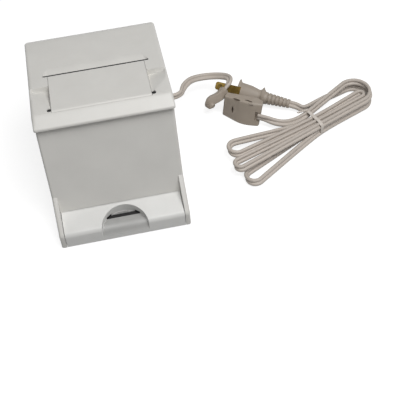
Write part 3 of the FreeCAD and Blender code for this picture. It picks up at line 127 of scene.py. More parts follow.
def rounding(distance, radius):
    """Depth of a rounded edge under its sharp form, r - r sqrt(1 - (1 - d / r)^2) at distance d."""
    depth = np.clip(distance / radius, 0.0, 1.0)
    return radius * (1 - np.sqrt(1 - (1 - depth)**2))


def swell(values, start, end):
    """Rises from 0 at start to 1 at end as 3 t^2 - 2 t^3."""
    t = np.clip((values - start) / (end - start), 0.0, 1.0)
    return t * t * (3 - 2 * t)


def grid_faces(rows, columns, closed=False):
    """Quads (i, j), (i, j+1), (i+1, j+1), (i+1, j) of a grid whose columns join, and its rows if closed."""
    count = rows if closed else rows - 1
    i = np.arange(count)[:, None]
    j = np.arange(columns)[None, :]
    ahead, beside = (i + 1) % rows, (j + 1) % columns
    corners = (i * columns + j, i * columns + beside, ahead * columns + beside, ahead * columns + j)
    return np.stack([np.broadcast_to(c, (count, columns)) for c in corners], -1).reshape(-1, 4).tolist()


def end_faces(row, columns, pole, turned):
    """Triangles from one row of a grid to the pole that closes it."""
    j = np.arange(columns)
    ring, beside = row * columns + j, row * columns + (j + 1) % columns
    first, second = (ring, beside) if turned else (beside, ring)
    return np.stack([first, second, np.full(columns, pole)], -1).tolist()


def closed_grid(points):
    """Vertices and faces of rows of points whose two end rows are closed with a pole at their middle."""
    rows, columns = points.shape[:2]
    vertices = np.concatenate([points.reshape(-1, 3), points[[0, -1]].mean(axis=1)])
    return vertices, (grid_faces(rows, columns) + end_faces(0, columns, rows * columns, False)
                      + end_faces(rows - 1, columns, rows * columns + 1, True))


def faces_outward(vertices, faces):
    """Turn every face round if the volume, a sixth of all a . (b x c) over triangles, is negative."""
    quads = np.array([face if len(face) == 4 else [*face, face[2]] for face in faces])
    a, b, c, d = (vertices[quads[:, k]] for k in range(4))
    volume = np.einsum("ij,ij->", a, np.cross(b, c)) + np.einsum("ij,ij->", a, np.cross(c, d))
    return faces if volume > 0 else [face[::-1] for face in faces]


def merged(parts):
    """Vertices and faces of several parts as one."""
    vertices, faces, start = [], [], 0
    for points, corners in parts:
        vertices.append(points)
        faces += [[start + k for k in face] for face in faces_outward(points, corners)]
        start += len(points)
    return np.concatenate(vertices), faces


def placed(name, data):
    """An object of the scene's own collection."""
    holder = bpy.data.objects.new(name, data)
    bpy.context.scene.collection.objects.link(holder)
    return holder


def new_piece(name, shape, slot, replaced=(), body="base", flat_above=40.0):
    """A mesh piece that rides on a body, smooth but for edges sharper than an angle in degrees."""
    vertices, faces = shape
    mesh = bpy.data.meshes.new(name)
    mesh.from_pydata(np.asarray(vertices, float).tolist(), [], faces_outward(vertices, faces))
    mesh.validate()
    mesh.shade_smooth()
    mesh.set_sharp_from_angle(angle=math.radians(flat_above))
    mesh.materials.append(finish_of(slot))
    piece = placed(name, mesh)
    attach(piece, body)
    if replaced:
        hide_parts(*replaced)
    return piece


def cut_out(piece, cutter_parts, flat_above=32.0):
    """Cut closed shapes out of a piece."""
    vertices, faces = merged(cutter_parts)
    mesh = bpy.data.meshes.new("cutter")
    mesh.from_pydata(vertices.tolist(), [], faces)
    cutter = placed("cutter", mesh)
    cut = piece.modifiers.new("cut", "BOOLEAN")
    cut.operation = "DIFFERENCE"
    cut.object = cutter
    cut.use_self = True
    shape = bpy.data.meshes.new_from_object(piece.evaluated_get(bpy.context.evaluated_depsgraph_get()))
    piece.modifiers.clear()
    piece.data = shape
    bpy.data.objects.remove(cutter)
    shape.set_sharp_from_angle(angle=math.radians(flat_above))


# Cords

def smooth_path(points, steps=10):
    """Points along the NURBS line of order 3 whose control points are given."""
    curve = bpy.data.curves.new("route", "CURVE")
    curve.dimensions = "3D"
    curve.resolution_u = steps
    spline = curve.splines.new("NURBS")
    spline.points.add(len(points) - 1)
    spline.points.foreach_set("co", np.column_stack([points, np.ones(len(points))]).ravel())
    spline.order_u = 3
    spline.use_endpoint_u = True
    holder = bpy.data.objects.new("route", curve)
    line = bpy.data.meshes.new_from_object(holder)
    path = np.zeros(len(line.vertices) * 3)
    line.vertices.foreach_get("co", path)
    bpy.data.objects.remove(holder)
    bpy.data.curves.remove(curve)
    bpy.data.meshes.remove(line)
    return path.reshape(-1, 3)


def carried(path, section, up=UPWARD, high=1.0, wide=1.0):
    """Section carried along a path: point (i, j) = path_i + H_i u_j lift_i + W_i v_j side_i.

    Lift is the up direction made square to the path, and side is the path's heading crossed with lift.
    """
    heading = unit(np.gradient(path, axis=0))
    up = np.broadcast_to(np.asarray(up, float), path.shape)
    lift = unit(up - heading * np.einsum("ij,ij->i", up, heading)[:, None])
    side = np.cross(heading, lift)
    high, wide = np.reshape(high, (-1, 1, 1)), np.reshape(wide, (-1, 1, 1))
    u, v = section[None, :, :1], section[None, :, 1:]
    return path[:, None] + lift[:, None] * u * high + side[:, None] * v * wide


def two_core_section(width, thickness, web, count=30):
    """Outline of a flat two-core cord, in (up, across).

    Radius at angle a is the outer edge of two circles set apart, c |cos a| + sqrt(R^2 - c^2 sin^2 a),
    joined by a flat web, w / |sin a|, where the web stands further out.
    """
    a = circle(count)
    radius = thickness / 2
    apart = width / 2 - radius
    circles = apart * np.abs(np.cos(a)) + np.sqrt(np.maximum(radius**2 - (apart * np.sin(a))**2, 0.0))
    flat = np.minimum(web / 2 / np.maximum(np.abs(np.sin(a)), 1e-6), radius)
    return around(a, np.maximum(circles, flat))


def round_section(diameter, count=12):
    """Outline of a round wire: (r cos a, r sin a)."""
    return around(circle(count)) * diameter / 2


def steps_of(path):
    return np.linalg.norm(np.diff(path, axis=0), axis=1)


def path_length(path):
    return float(steps_of(path).sum())


def distances(path):
    """Distance of each point of a path from its start."""
    return np.concatenate([[0.0], np.cumsum(steps_of(path))])


def between(at, spots, rows):
    """Rows of three values given at some distances, joined by straight lines and read at others."""
    return np.column_stack([np.interp(at, spots, rows[:, k]) for k in range(3)])


def turned_up(path, spots, leans):
    """Up directions along a path: leans given at distances along it, joined by straight lines."""
    return between(distances(path), spots, unit(np.asarray(leans, float)))


def lay_cord(name, path, replaced, up=UPWARD, **facts):
    """A length of flat cord on its path."""
    size = bpy.context.scene.warmer_cord
    section = two_core_section(size.width, size.thickness, size.web)
    piece = new_piece(name, closed_grid(carried(path, section, up)), "cord", replaced, flat_above=75.0)
    return piece


# Control points of the cords' lines, in mm. The up directions of the lead and the extension are given
# at distances along them, in metres, and the extension's last three count back from its end.
LEAD_ROUTE = np.array([
    (54.0, 52.0, 20.0), (61.5, 52.0, 20.0), (65.6, 62.6, 19.0), (72.4, 70.6, 17.6), (81.5, 73.4, 16.2),
    (91.8, 72.4, 16.2), (100.6, 67.0, 18.6), (103.2, 60.4, 21.4), (102.0, 56.2, 20.8), (98.56, 53.27, 18.6),
    (95.17, 49.60, 18.6)]) / 1000
LEAD_SPOTS = (0.007, 0.020, 0.034, 0.044, 0.054, 0.064, 0.078)
LEAD_LEANS = [(0, 0, 1), (-0.55, 0.45, 0.60), (-0.20, 0.75, 0.62), (0.10, 0.77, 0.63), (0.50, 0.55, 0.55),
              (0.72, 0.15, 0.50), (0.50, 0.0, 0.80)]

INNER_ROUTE = np.array([(54, 52, 20), (24.5, 52, 20), (12.5, 42, 12), (2, 42, 12)]) / 1000

TAP_ROUTE = np.array([
    (117.77, 25.03, 8.5), (122.82, 21.79, 8.5), (129.6, 17.6, 6.6), (137.6, 15.0, 5.6), (146.5, 14.2, 7.4),
    (154.30, 16.03, 9.95)]) / 1000
PLUG_ROUTE = np.array([(155.35, 29.58, 3.7), (150.93, 32.19, 6.05), (146.16, 34.89, 6.47)]) / 1000
TAP_SPOTS, PLUG_SPOTS = (0.004, 0.016, 0.034, 0.050), (0.032, 0.016, 0.004)
EXTENSION_LEANS = [(0, 0, 1), (0.36, 0.62, 0.66), (0.10, 0.70, 0.70), (-0.187, 0.466, 0.866),
                   (-0.187, 0.466, 0.866), (-0.1, -0.35, 0.93)]

# Hank, in metres and degrees: its waist, the reach and lean from there and the radius of the outer fold
# and of the three near the tap, the radius of the inner fold, the spacing of the strands, the height of
# the layers, and where the plug's and the tap's ends pass the waist.
WAIST = np.array([0.1595, 0.0086])
WAIST_HEADING = math.radians(22.0)
WAIST_REACH = 0.009
FOLDS = ((0.0454, 30.1, 0.0122), (0.0668, 192.0, 0.0064), (0.0734, 205.0, 0.0042), (0.0702, 214.3, 0.0062))
INNER_RADIUS = 0.0031
STRAND_PITCH = 0.0035
LAYERS = (0.0037, 0.00995)
PLUG_PASSAGE, TAP_PASSAGE = (0.0207, 0.0095), (0.0104, 0.0053)


def level(angle):
    """Level unit vector (cos a, sin a)."""
    return np.array([math.cos(angle), math.sin(angle)])


def dipping(angle, dip):
    """Unit vector at a level angle that dips by another: (cos a cos d, sin a cos d, -sin d)."""
    return np.array([*(level(angle) * math.cos(dip)), -math.sin(dip)])


def waist_spot(slot, ahead=0.0):
    """A point across the waist: slot to the left of its heading, ahead along it."""
    along = level(WAIST_HEADING)
    return WAIST + np.array([-along[1], along[0]]) * slot + along * ahead


def hank_folds():
    """Folds in the order the cord takes them from the plug's end.

    Each has its middle, radius, turn (1 is anticlockwise) and layer, then the slot the cord passes
    through at the waist on its way to the next fold. The inner fold touches the outer one's inside.
    """
    outer, upper, middle, lower = ((WAIST + reach * level(math.radians(lean)), radius)
                                   for reach, lean, radius in FOLDS)
    angle = math.radians(FOLDS[0][1])
    inset = outer[1] - STRAND_PITCH - INNER_RADIUS
    inner = (outer[0] + np.array([math.sin(angle), -math.cos(angle)]) * inset, INNER_RADIUS)
    return [(*outer, -1, 0, -0.0060), (*lower, -1, 0, -0.0015), (*inner, 1, 0, 0.0042),
            (*upper, 1, 1, 0.0012), (*inner, -1, 1, -0.0026), (*middle, 1, 1, -0.0064), (*outer, 1, 1, None)]


def touch_spot(start, middle, radius, turn):
    """Where a straight line from a point first touches a fold that it enters in its turn."""
    gap = middle - start
    reach = math.hypot(*gap)
    angle = math.atan2(gap[1], gap[0]) - turn * math.asin(radius / reach)
    return start + math.sqrt(reach**2 - radius**2) * level(angle)


def fold_corners(middle, radius, turn, arrive, leave, count=5):
    """Corners of the even polygon that wraps a fold: middle + r / cos(d / 2) at steps of the angle d.

    One more point stands on each run beside it, as far away as the corners are from each other.
    """
    start = math.atan2(arrive[1] - middle[1], arrive[0] - middle[0])
    end = math.atan2(leave[1] - middle[1], leave[0] - middle[0])
    step = (end - start) * turn % (2 * math.pi) / count
    angles = start + turn * step * (np.arange(count) + 0.5)
    corners = middle + radius / math.cos(step / 2) * around(angles)
    side = 2 * radius * math.tan(step / 2)
    before = corners[0] + unit(arrive - corners[0]) * side
    after = corners[-1] + unit(leave - corners[-1]) * side
    return np.vstack([before, corners, after])


def hank_route(start, end):
    """Control points of the tied hank, from the plug's end to the tap's end of the cord."""
    folds = hank_folds()
    points = []
    arrive = touch_spot(start, *folds[0][:3])
    for k, (middle, radius, turn, layer, slot) in enumerate(folds):
        goal = end if slot is None else waist_spot(slot)
        leave = touch_spot(goal, middle, radius, -turn)
        spots = fold_corners(middle, radius, turn, arrive, leave)
        if slot is not None:
            arrive = touch_spot(goal, *folds[k + 1][:3])
            spots = np.vstack([spots, goal - unit(goal - leave) * WAIST_REACH,
                               goal + unit(arrive - goal) * WAIST_REACH])
        points.append(np.column_stack([spots, np.full(len(spots), LAYERS[layer])]))
    return np.vstack(points)


def extension_route():
    """The whole extension cord: tap, tie, hank and plug, as one line of control points."""
    start, end = waist_spot(*PLUG_PASSAGE), waist_spot(*TAP_PASSAGE)
    hank = hank_route(start, end)
    return np.vstack([TAP_ROUTE, [*end, LAYERS[1]], hank[::-1], [*start, LAYERS[0]], PLUG_ROUTE])


# Wires of the heater, in mm
HEATER_WIRES = [np.array(route) / 1000 for route in (
    [(-13, 34, 8), (-13, 25, 8), (-14, 17, 22), (-15, 0.22, 20.76), (-15, -7.57, 25.26)],
    [(-9, -7.57, 25.26), (-9, -3.24, 22.76), (1, -4.47, 24.62), (2, -8.9, 32.95), (2, -6.4, 37.28)],
    [(6, -6.4, 37.28), (6, -9.4, 32.09), (8, -10.17, 26.76), (12.5, -10.17, 26.76)],
    [(-3, 34, 8), (-3, 25, 8), (20, 17, 22), (31, -4.11, 23.26), (30.5, -10.17, 26.76),
     (23.5, -10.17, 26.76)])]
WIRE_DIAMETER = 0.0018


# Shader groups

def shader_group(name, inputs, results):
    """An empty node group; returns it, its inputs' sockets and its results' sockets."""
    kinds = {"Vector": "Vector", "Colour": "Color", "Stain": "Color"}
    group = bpy.data.node_groups.new(name, "ShaderNodeTree")
    for way, titles in (("INPUT", inputs), ("OUTPUT", results)):
        for title in titles:
            kind = kinds.get(title, "Float")
            group.interface.new_socket(title, in_out=way, socket_type="NodeSocket" + kind)
    return group, group.nodes.new("NodeGroupInput").outputs, group.nodes.new("NodeGroupOutput").inputs


def add_node(tree, kind, values=(), **settings):
    """A node with its settings, and its inputs as (socket, value or output to link)."""
    node = tree.nodes.new("ShaderNode" + kind)
    for key, value in settings.items():
        setattr(node, key, value)
    for key, value in values:
        if isinstance(value, bpy.types.NodeSocket):
            tree.links.new(value, node.inputs[key])
        else:
            node.inputs[key].default_value = value
    return node


def maths(tree, operation, *values):
    return add_node(tree, "Math", enumerate(values), operation=operation).outputs[0]


def product(tree, *values):
    """Product of several values."""
    result = values[0]
    for value in values[1:]:
        result = maths(tree, "MULTIPLY", result, value)
    return result


def vector_maths(tree, operation, *values):
    return add_node(tree, "VectorMath", enumerate(values), operation=operation).outputs


def scaled(tree, colour, share):
    return add_node(tree, "VectorMath", [(0, colour), ("Scale", share)], operation="SCALE").outputs[0]


def noise(tree, vector, scale, detail, roughness=0.5):
    return add_node(tree, "TexNoise", [("Vector", vector), ("Scale", scale), ("Detail", detail),
                                       ("Roughness", roughness)]).outputs["Fac"]


def ranged(tree, value, low, high, start=0.0, end=1.0, **settings):
    """Start where the value is low, end where it is high, and between them in between."""
    return add_node(tree, "MapRange", [("Value", value), ("From Min", low), ("From Max", high),
                                       ("To Min", start), ("To Max", end)], **settings).outputs[0]


def mixed(tree, share, first, second):
    return add_node(tree, "Mix", [(0, share), (6, first), (7, second)], data_type="RGBA").outputs[2]


def linked(tree, sockets, **results):
    for title, result in results.items():
        tree.links.new(result, sockets[title])
    return tree


def moulded_group():
    """Grain, mottling and specks of injection-moulded plastic."""
    group, given, out = shader_group(
        "moulded surface", ("Vector", "Colour", "Pitch", "Roughness", "Mottle", "Specks"),
        ("Colour", "Roughness", "Height"))
    grain = noise(group, given["Vector"], maths(group, "DIVIDE", 1.0, given["Pitch"]), 3.0, roughness=0.6)
    cloud = noise(group, given["Vector"], scale=38.0, detail=4.0)
    spots = add_node(group, "TexVoronoi", [("Vector", given["Vector"]), ("Scale", 240.0)])
    dark = ranged(group, spots.outputs["Distance"], 0.02, 0.10, start=1.0, end=0.0)
    chance = maths(group, "GREATER_THAN", cloud, 0.60)
    speck = product(group, dark, chance, given["Specks"])
    swing = ranged(group, cloud, 0.3, 0.7, start=-1.0)
    tone = maths(group, "MULTIPLY_ADD", swing, given["Mottle"], 1.0)
    tone = maths(group, "SUBTRACT", tone, speck)
    rough = maths(group, "MULTIPLY_ADD", swing, 0.05, given["Roughness"])
    rough = maths(group, "MULTIPLY_ADD", grain, 0.10, rough)
    return linked(group, out, Colour=scaled(group, given["Colour"], tone), Roughness=rough, Height=grain)


DUST_COLOUR = (0.52, 0.49, 0.44, 1.0)


def dust_group():
    """Settled dust and handling marks: more on faces that look up, in soft patches."""
    group, given, out = shader_group(
        "settled dust", ("Vector", "Colour", "Roughness", "Amount"), ("Colour", "Roughness"))
    facing = add_node(group, "SeparateXYZ", [(0, add_node(group, "NewGeometry").outputs["Normal"])])
    upward = ranged(group, facing.outputs["Z"], -0.2, 1.0)
    patch = ranged(group, noise(group, given["Vector"], scale=55.0, detail=6.0, roughness=0.65), 0.42, 0.75)
    mask = product(group, upward, patch, given["Amount"])
    return linked(group, out, Colour=mixed(group, mask, given["Colour"], DUST_COLOUR),
                  Roughness=maths(group, "MULTIPLY_ADD", mask, 0.5, given["Roughness"]))


# Finger notch in object coordinates, in metres: its axis in front of the origin, its radius, the heights
# between which the painted shade sets in, and the slot's middle, behind which it is darker by a share
NOTCH_AHEAD, NOTCH_RADIUS = 0.0633, 0.0168
SHADE_HEIGHTS = (0.0025, 0.0085)
DARKER_BEHIND, DARKER_SHARE = -0.0484, 0.62


def painted_shade_group():
    """Painted shade in the finger notch: a darker round patch that fades towards its lower edge."""
    group, given, out = shader_group("handled notch", ("Vector", "Colour", "Tone"), ("Colour",))
    from_axis = vector_maths(group, "ADD", given["Vector"], (0.0, NOTCH_AHEAD, 0.0))[0]
    flat = vector_maths(group, "MULTIPLY", from_axis, (1.0, 1.0, 0.0))[0]
    reach = vector_maths(group, "LENGTH", flat)["Value"]
    inside = ranged(group, reach, NOTCH_RADIUS - 0.0002, NOTCH_RADIUS, start=1.0, end=0.0)
    height = add_node(group, "SeparateXYZ", [(0, given["Vector"])]).outputs
    above = ranged(group, height["Z"], *SHADE_HEIGHTS, interpolation_type="SMOOTHSTEP")
    patch = ranged(group, noise(group, given["Vector"], scale=160.0, detail=3.0), 0.3, 0.7, start=0.9)
    mask = product(group, inside, above, patch)
    behind = ranged(group, height["Y"], DARKER_BEHIND - 0.0001, DARKER_BEHIND + 0.0001, start=1.0,
                    end=DARKER_SHARE)
    dust_and_painted_shade = scaled(group, given["Colour"], product(group, given["Tone"], behind))
    return linked(group, out, Colour=mixed(group, mask, given["Colour"], dust_and_painted_shade))


def drawn_group():
    """Fine lines of drawn or rolled metal along one axis of the vector."""
    group, given, out = shader_group(
        "drawn lines", ("Vector", "Colour", "Roughness", "Stain", "Amount"),
        ("Colour", "Roughness", "Height"))
    lines = noise(group, given["Vector"], scale=900.0, detail=2.0)
    patch = ranged(group, noise(group, given["Vector"], scale=60.0, detail=5.0), 0.45, 0.8)
    mask = product(group, patch, given["Amount"])
    rough = maths(group, "MULTIPLY_ADD", lines, 0.18, given["Roughness"])
    rough = maths(group, "MULTIPLY_ADD", mask, 0.6, rough)
    return linked(group, out, Colour=mixed(group, mask, given["Colour"], given["Stain"]),
                  Roughness=rough, Height=lines)


GROUP_MAKERS = {"moulded surface": moulded_group, "settled dust": dust_group, "drawn lines": drawn_group,
                "handled notch": painted_shade_group}


def place_group(tree, name, **values):
    """Outputs of a shared shader group, which is made the first time it is asked for."""
    group = bpy.data.node_groups.get(name) or GROUP_MAKERS[name]()
    return add_node(tree, "Group", values.items(), node_tree=group).outputs


# Finishes

def new_finish(name):
    """An empty material; returns it, its tree and the inputs of its Principled shader."""
    finish = bpy.data.materials.new("finish " + name)
    finish.use_nodes = True
    return finish, finish.node_tree, finish.node_tree.nodes["Principled BSDF"].inputs


def object_place(tree):
    return add_node(tree, "TexCoord").outputs["Object"]


def dress(tree, shader, colour, roughness, height, distance, strength, soften=0.0):
    """Give the shader a colour, a roughness and a relief, with softened edges if asked for."""
    bump = add_node(tree, "Bump", [("Height", height), ("Distance", distance), ("Strength", strength)])
    if soften:
        edge = add_node(tree, "Bevel", [("Radius", soften)], samples=6)
        tree.links.new(edge.outputs[0], bump.inputs["Normal"])
    linked(tree, shader, **{"Base Color": colour, "Roughness": roughness, "Normal": bump.outputs[0]})


def plastic_finish(name, colour, roughness=0.42, pitch=0.0007, relief=0.35, mottle=0.03, specks=0.05,
                   dust=0.10, specular=0.5, sheen=0.0, depth=0.0001, soften=0.0, painted_shade=0.0):
    """Moulded plastic with grain, mottling and dust; softened edges, and painted shade in the finger notch,
    if given.
    """
    finish, tree, shader = new_finish(name)
    place = object_place(tree)
    skin = place_group(tree, "moulded surface", Vector=place, Colour=(*colour, 1.0), Pitch=pitch,
                       Roughness=roughness, Mottle=mottle, Specks=specks)
    dust_and_painted_shade = place_group(tree, "settled dust", Vector=place, Colour=skin["Colour"],
                       Roughness=skin["Roughness"], Amount=dust)
    shade = dust_and_painted_shade["Colour"]
    # Painted shade in the finger notch, if asked for
    if painted_shade:
        shade = place_group(tree, "handled notch", Vector=place, Colour=shade, Tone=painted_shade)["Colour"]
    shader["Specular IOR Level"].default_value = specular
    shader["Sheen Weight"].default_value = sheen
    dress(tree, shader, shade, dust_and_painted_shade["Roughness"], skin["Height"], depth, relief, soften)
    return finish


def metal_finish(name, colour, roughness, stain=(0.3, 0.27, 0.22), amount=0.2, stretch=(1.0, 1.0, 1.0)):
    """Rolled or turned metal with fine lines and patches of tarnish."""
    finish, tree, shader = new_finish(name)
    place = object_place(tree)
    drawn = add_node(tree, "Mapping", [("Vector", place), ("Scale", stretch)]).outputs[0]
    skin = place_group(tree, "drawn lines", Vector=drawn, Colour=(*colour, 1.0), Roughness=roughness,
                       Stain=(*stain, 1.0), Amount=amount)
    shader["Metallic"].default_value = 1.0
    dress(tree, shader, skin["Colour"], skin["Roughness"], skin["Height"], 0.00003, 0.3)
    return finish


def make_finishes():
    """Every finish of the record's material slots, by slot name."""
    scene = bpy.context.scene
    casing, cord, plug = scene.warmer_casing, scene.warmer_cord, scene.warmer_plug
    plastics = {
        "white_casing": dict(colour=casing.white, roughness=0.31, pitch=casing.grain, soften=0.0005),
        # The drawer's finger notch gets painted shade: its colour at half strength, less still behind the
        # slot
        "white_drawer": dict(colour=casing.drawer, roughness=0.30, pitch=casing.grain, soften=0.0005,
                             painted_shade=0.50),
        # Near black for the parts inside: it paints the shade inside the casing that shows through the
        # notch's slot
        "grey_plastic": dict(colour=(0.035, 0.035, 0.036), roughness=0.5),
        "black_rubber": dict(colour=(0.014, 0.014, 0.015), roughness=0.75, pitch=0.0012, relief=0.6,
                             mottle=0.1, specks=0.0, dust=0.03, specular=0.3),
        "silicone": dict(colour=(0.34, 0.055, 0.02), roughness=0.6, pitch=0.0016, relief=0.7, mottle=0.06,
                         specks=0.0, dust=0.05),
        "cord": dict(colour=cord.vinyl, pitch=0.0010, relief=0.25, mottle=0.05, specks=0.03, dust=0.22),
        "plug_plastic": dict(colour=plug.plastic, roughness=0.45, pitch=0.0006, mottle=0.05, dust=0.22),
        "tie": dict(colour=(0.70, 0.64, 0.58), roughness=0.35, pitch=0.0008, relief=0.2),
        "wire": dict(colour=(0.72, 0.71, 0.68), roughness=0.4, pitch=0.0008, relief=0.2),
        "terminal_plastic": dict(colour=(0.62, 0.60, 0.50), roughness=0.4),
        "felt": dict(colour=(0.66, 0.62, 0.52), roughness=0.9, pitch=0.0012, relief=0.9, mottle=0.16,
                     specks=0.3, dust=0.0, sheen=0.3, depth=0.0006)}
    metals = {
        "steel": dict(colour=(0.58, 0.58, 0.57), roughness=0.24, amount=0.12),
        "aluminium": dict(colour=(0.74, 0.75, 0.76), roughness=0.32, stain=(0.5, 0.5, 0.5), amount=0.15,
                          stretch=(1.0, 0.06, 0.06)),
        "brass": dict(colour=plug.brass, roughness=0.50, stain=(0.06, 0.035, 0.012), amount=0.85)}
    return {**{slot: plastic_finish(slot, **look) for slot, look in plastics.items()},
            **{slot: metal_finish(slot, **look) for slot, look in metals.items()}}


def finish_of(slot):
    return bpy.data.materials.get("finish " + slot) or make_finishes()[slot]


# Cap, in mm

CAP_HALF, CAP_FRONT, CAP_REAR, CAP_LOW = 47.5, -30.8, 62.0, 86.52
# Rounding of its edges, at the sides no more than a share of the height there, and of its corners
SIDE_ROUND, SIDE_SHARE, FRONT_ROUND, REAR_ROUND = 2.4, 0.42, 0.7, 0.9
FRONT_CORNER, REAR_CORNER = 1.6, 4.0
# Planes of its top: the crest's place and height, the slope behind it, the nose's rise and run in
# front of it, the start and slope of the rear bevel, and how softly they meet, about a middle height.
CREST = (-21.8, 93.4)
TOP_SLOPE = math.tan(math.radians(2.43))
NOSE_RISE, NOSE_RUN = 5.2, 9.0
BEVEL_START, BEVEL_SLOPE = 58.0, 0.5
MEETING, MIDDLE_HEIGHT = 0.3, 90
# The flap's seat with the floor under its barrel, the mouth, and the groove behind the flap, each with
# its half width, front and rear
SEAT, SEAT_DEPTH = (33.82, -21.6, 16.4), 2.4
BARREL_REAR, BARREL_FLOOR = -16.2, 88.08
MOUTH = (32.7, -14.0, 14.5)
GROOVE, GROOVE_DEPTH = (36.9, 16.4, 18.1), 4.5
# The finger lip behind the groove, the wedges beside the flap, and the pits at its front corners
LIP_DEPTH, LIP_LENGTH, LIP_TAPER, LIP_ENDS = 1.5, 7.5, 0.45, (35.4, 36.6)
DIP_INNER, DIP_SLOPE = 34.0, 0.34
DIP_LEAN, DIP_LEAN_LENGTH, DIP_START = 1.2, 1.562, 60.2
DIP_REAR_WALL, DIP_SIDE_WALL = (5.0, 6.0), (45.0, 47.4)
PIT, PIT_RADIUS, PIT_WALL, PIT_DEPTH = (35.1, -19.0), 1.5, 0.2, 4.5


def cap_lines():
    """Grid lines across and along the cap, close together at its edges and steps."""
    edge = np.array([0, 0.12, 0.35, 0.7, 1.15, 1.7, 2.3, 3.0, 4.0, 5.2, 6.4, 7.6, 8.8, 10.0])
    pit = np.array([37.2, 36.94, 36.86, 36.6, 36.3, 36.0, 35.6, 35.3, 35.0, 34.7, 34.4, 34.1, 33.86, 33.78,
                    32.7])
    right = np.concatenate([CAP_HALF - edge, pit, [28, 22, 16, 10, 5]])
    across = np.unique(np.concatenate([-right, [0.0], right]))
    front = CAP_FRONT + np.array([0, 0.1, 0.3, 0.6, 1.0, 1.5, 2.2, 4.0, 6.0, 7.6, 8.4, 8.8, 9.0, 9.16, 9.24,
                                  9.7])
    hole = np.array([-20.6, -20.3, -20.2, -20.0, -19.7, -19.35, -19.0, -18.65, -18.3, -18.0, -17.8, -17.7,
                     -17.0, -16.24, -16.16, -15.2, -14.0])
    middle = np.concatenate([np.arange(-13.0, 14.0, 1.0), [14.5, 15.4, 16.36, 16.44, 17.2, 18.06, 18.14]])
    rear = np.concatenate([np.arange(19.6, 27.0, 0.8), np.arange(28.0, 57.0, 3.5)])
    bevel = CAP_REAR - np.array([5.0, 4.4, 4.0, 3.6, 3.0, 2.2, 1.5, 1.0, 0.6, 0.3, 0.1, 0.0])
    return across, np.concatenate([front, hole, middle, rear, bevel])


def within(x, y, area):
    """Where a half width, a front and a rear hold a place."""
    return (np.abs(x) < area[0]) & (y > area[1]) & (y < area[2])


def cap_height(x, y, inside):
    """Height of the cap's top at x, y and at a distance inside its sides.

    The lower of three planes (nose, top and rear bevel, met with -k log of a sum of exp(-z / k)), less
    the wedge on either side of the flap, the finger lip behind it, round pits at its front corners, the
    flap's seat, the groove behind the flap, and the rounding of the outer edge. A wedge's depth grows
    with the distance behind a leaning line, and its rear and outer walls rise as swell does.
    """
    top = CREST[1] - (y - CREST[0]) * TOP_SLOPE
    nose = CREST[1] + (y - CREST[0]) * NOSE_RISE / NOSE_RUN
    bevel = CREST[1] - (BEVEL_START - CREST[0]) * TOP_SLOPE - (y - BEVEL_START) * BEVEL_SLOPE
    height = -MEETING * np.log(sum(np.exp(-(plane - MIDDLE_HEIGHT) / MEETING)
                                   for plane in (top, nose, bevel))) + MIDDLE_HEIGHT
    side = np.abs(x)
    behind = np.maximum(y - DIP_LEAN * side + DIP_START, 0.0) / DIP_LEAN_LENGTH
    dip = (np.where(side > DIP_INNER, DIP_SLOPE * behind, 0.0) * (1 - swell(y, *DIP_REAR_WALL))
           * (1 - swell(side, *DIP_SIDE_WALL)))
    past_groove = y - GROOVE[2]
    lip = LIP_DEPTH * np.clip(1 - past_groove / LIP_LENGTH, 0.0, 1.0)**2 * (y > GROOVE[2])
    lip = lip * (1 - swell(side + past_groove * LIP_TAPER, *LIP_ENDS))
    height = height - dip - lip
    pit = np.clip((PIT_RADIUS - np.hypot(side - PIT[0], y - PIT[1])) / PIT_WALL, 0.0, 1.0)
    height = height - PIT_DEPTH * pit
    height = np.where(within(x, y, SEAT), np.where(y < BARREL_REAR, BARREL_FLOOR, top - SEAT_DEPTH), height)
    height = np.where(within(x, y, GROOVE), top - GROOVE_DEPTH, height)
    height = height - rounding(inside, np.minimum(SIDE_ROUND, SIDE_SHARE * (height - CAP_LOW)))
    height = height - rounding(y - CAP_FRONT, FRONT_ROUND)
    return height - rounding(CAP_REAR - y, REAR_ROUND)


def slab(top, bottom, kept):
    """Solid between two grids of points, from the kept cells; walls stand on edges of one cell alone."""
    rows, columns = top.shape[:2]
    i, j = np.nonzero(kept)
    a, b = i * columns + j, (i + 1) * columns + j
    cells = np.stack([a, b, b + 1, a + 1], -1)
    edges = np.stack([cells, np.roll(cells, -1, axis=1)], -1).reshape(-1, 2)
    low, high = edges.min(axis=1), edges.max(axis=1)
    _, first, count = np.unique(low * rows * columns + high, return_index=True, return_counts=True)
    rim = edges[first[count == 1]]
    walls = np.stack([rim[:, 1], rim[:, 0], rim[:, 0] + rows * columns, rim[:, 1] + rows * columns], -1)
    faces = np.concatenate([cells, cells[:, ::-1] + rows * columns, walls])
    vertices = np.concatenate([top.reshape(-1, 3), bottom.reshape(-1, 3)])
    used, place = np.unique(faces, return_inverse=True)
    return vertices[used], place.reshape(faces.shape).tolist()


def cap_shell(drawn_in=10):
    """Cap as a slab with the mouth left out, its corners rounded by drawing in the outer strip.

    The half width at distance d from an end is W - r + sqrt(r^2 - (r - d)^2) within the corner's radius.
    """
    across, along = cap_lines()
    x, y = np.meshgrid(across, along, indexing="ij")
    half = np.full(y.shape, CAP_HALF)
    for distance, radius in ((y - CAP_FRONT, FRONT_CORNER), (CAP_REAR - y, REAR_CORNER)):
        half = half - radius + np.sqrt(radius**2 - (radius - np.minimum(distance, radius))**2)
    x = x + np.sign(x) * (half - CAP_HALF) * swell(np.abs(x), CAP_HALF - drawn_in, CAP_HALF)
    z = cap_height(x, y, half - np.abs(x))
    top = np.stack([x, y, z], -1) / 1000
    bottom = np.stack([x, y, np.full(z.shape, CAP_LOW)], -1) / 1000
    middle_x, middle_y = (across[1:] + across[:-1]) / 2, (along[1:] + along[:-1]) / 2
    return slab(top, bottom, ~within(middle_x[:, None], middle_y[None, :], MOUTH))


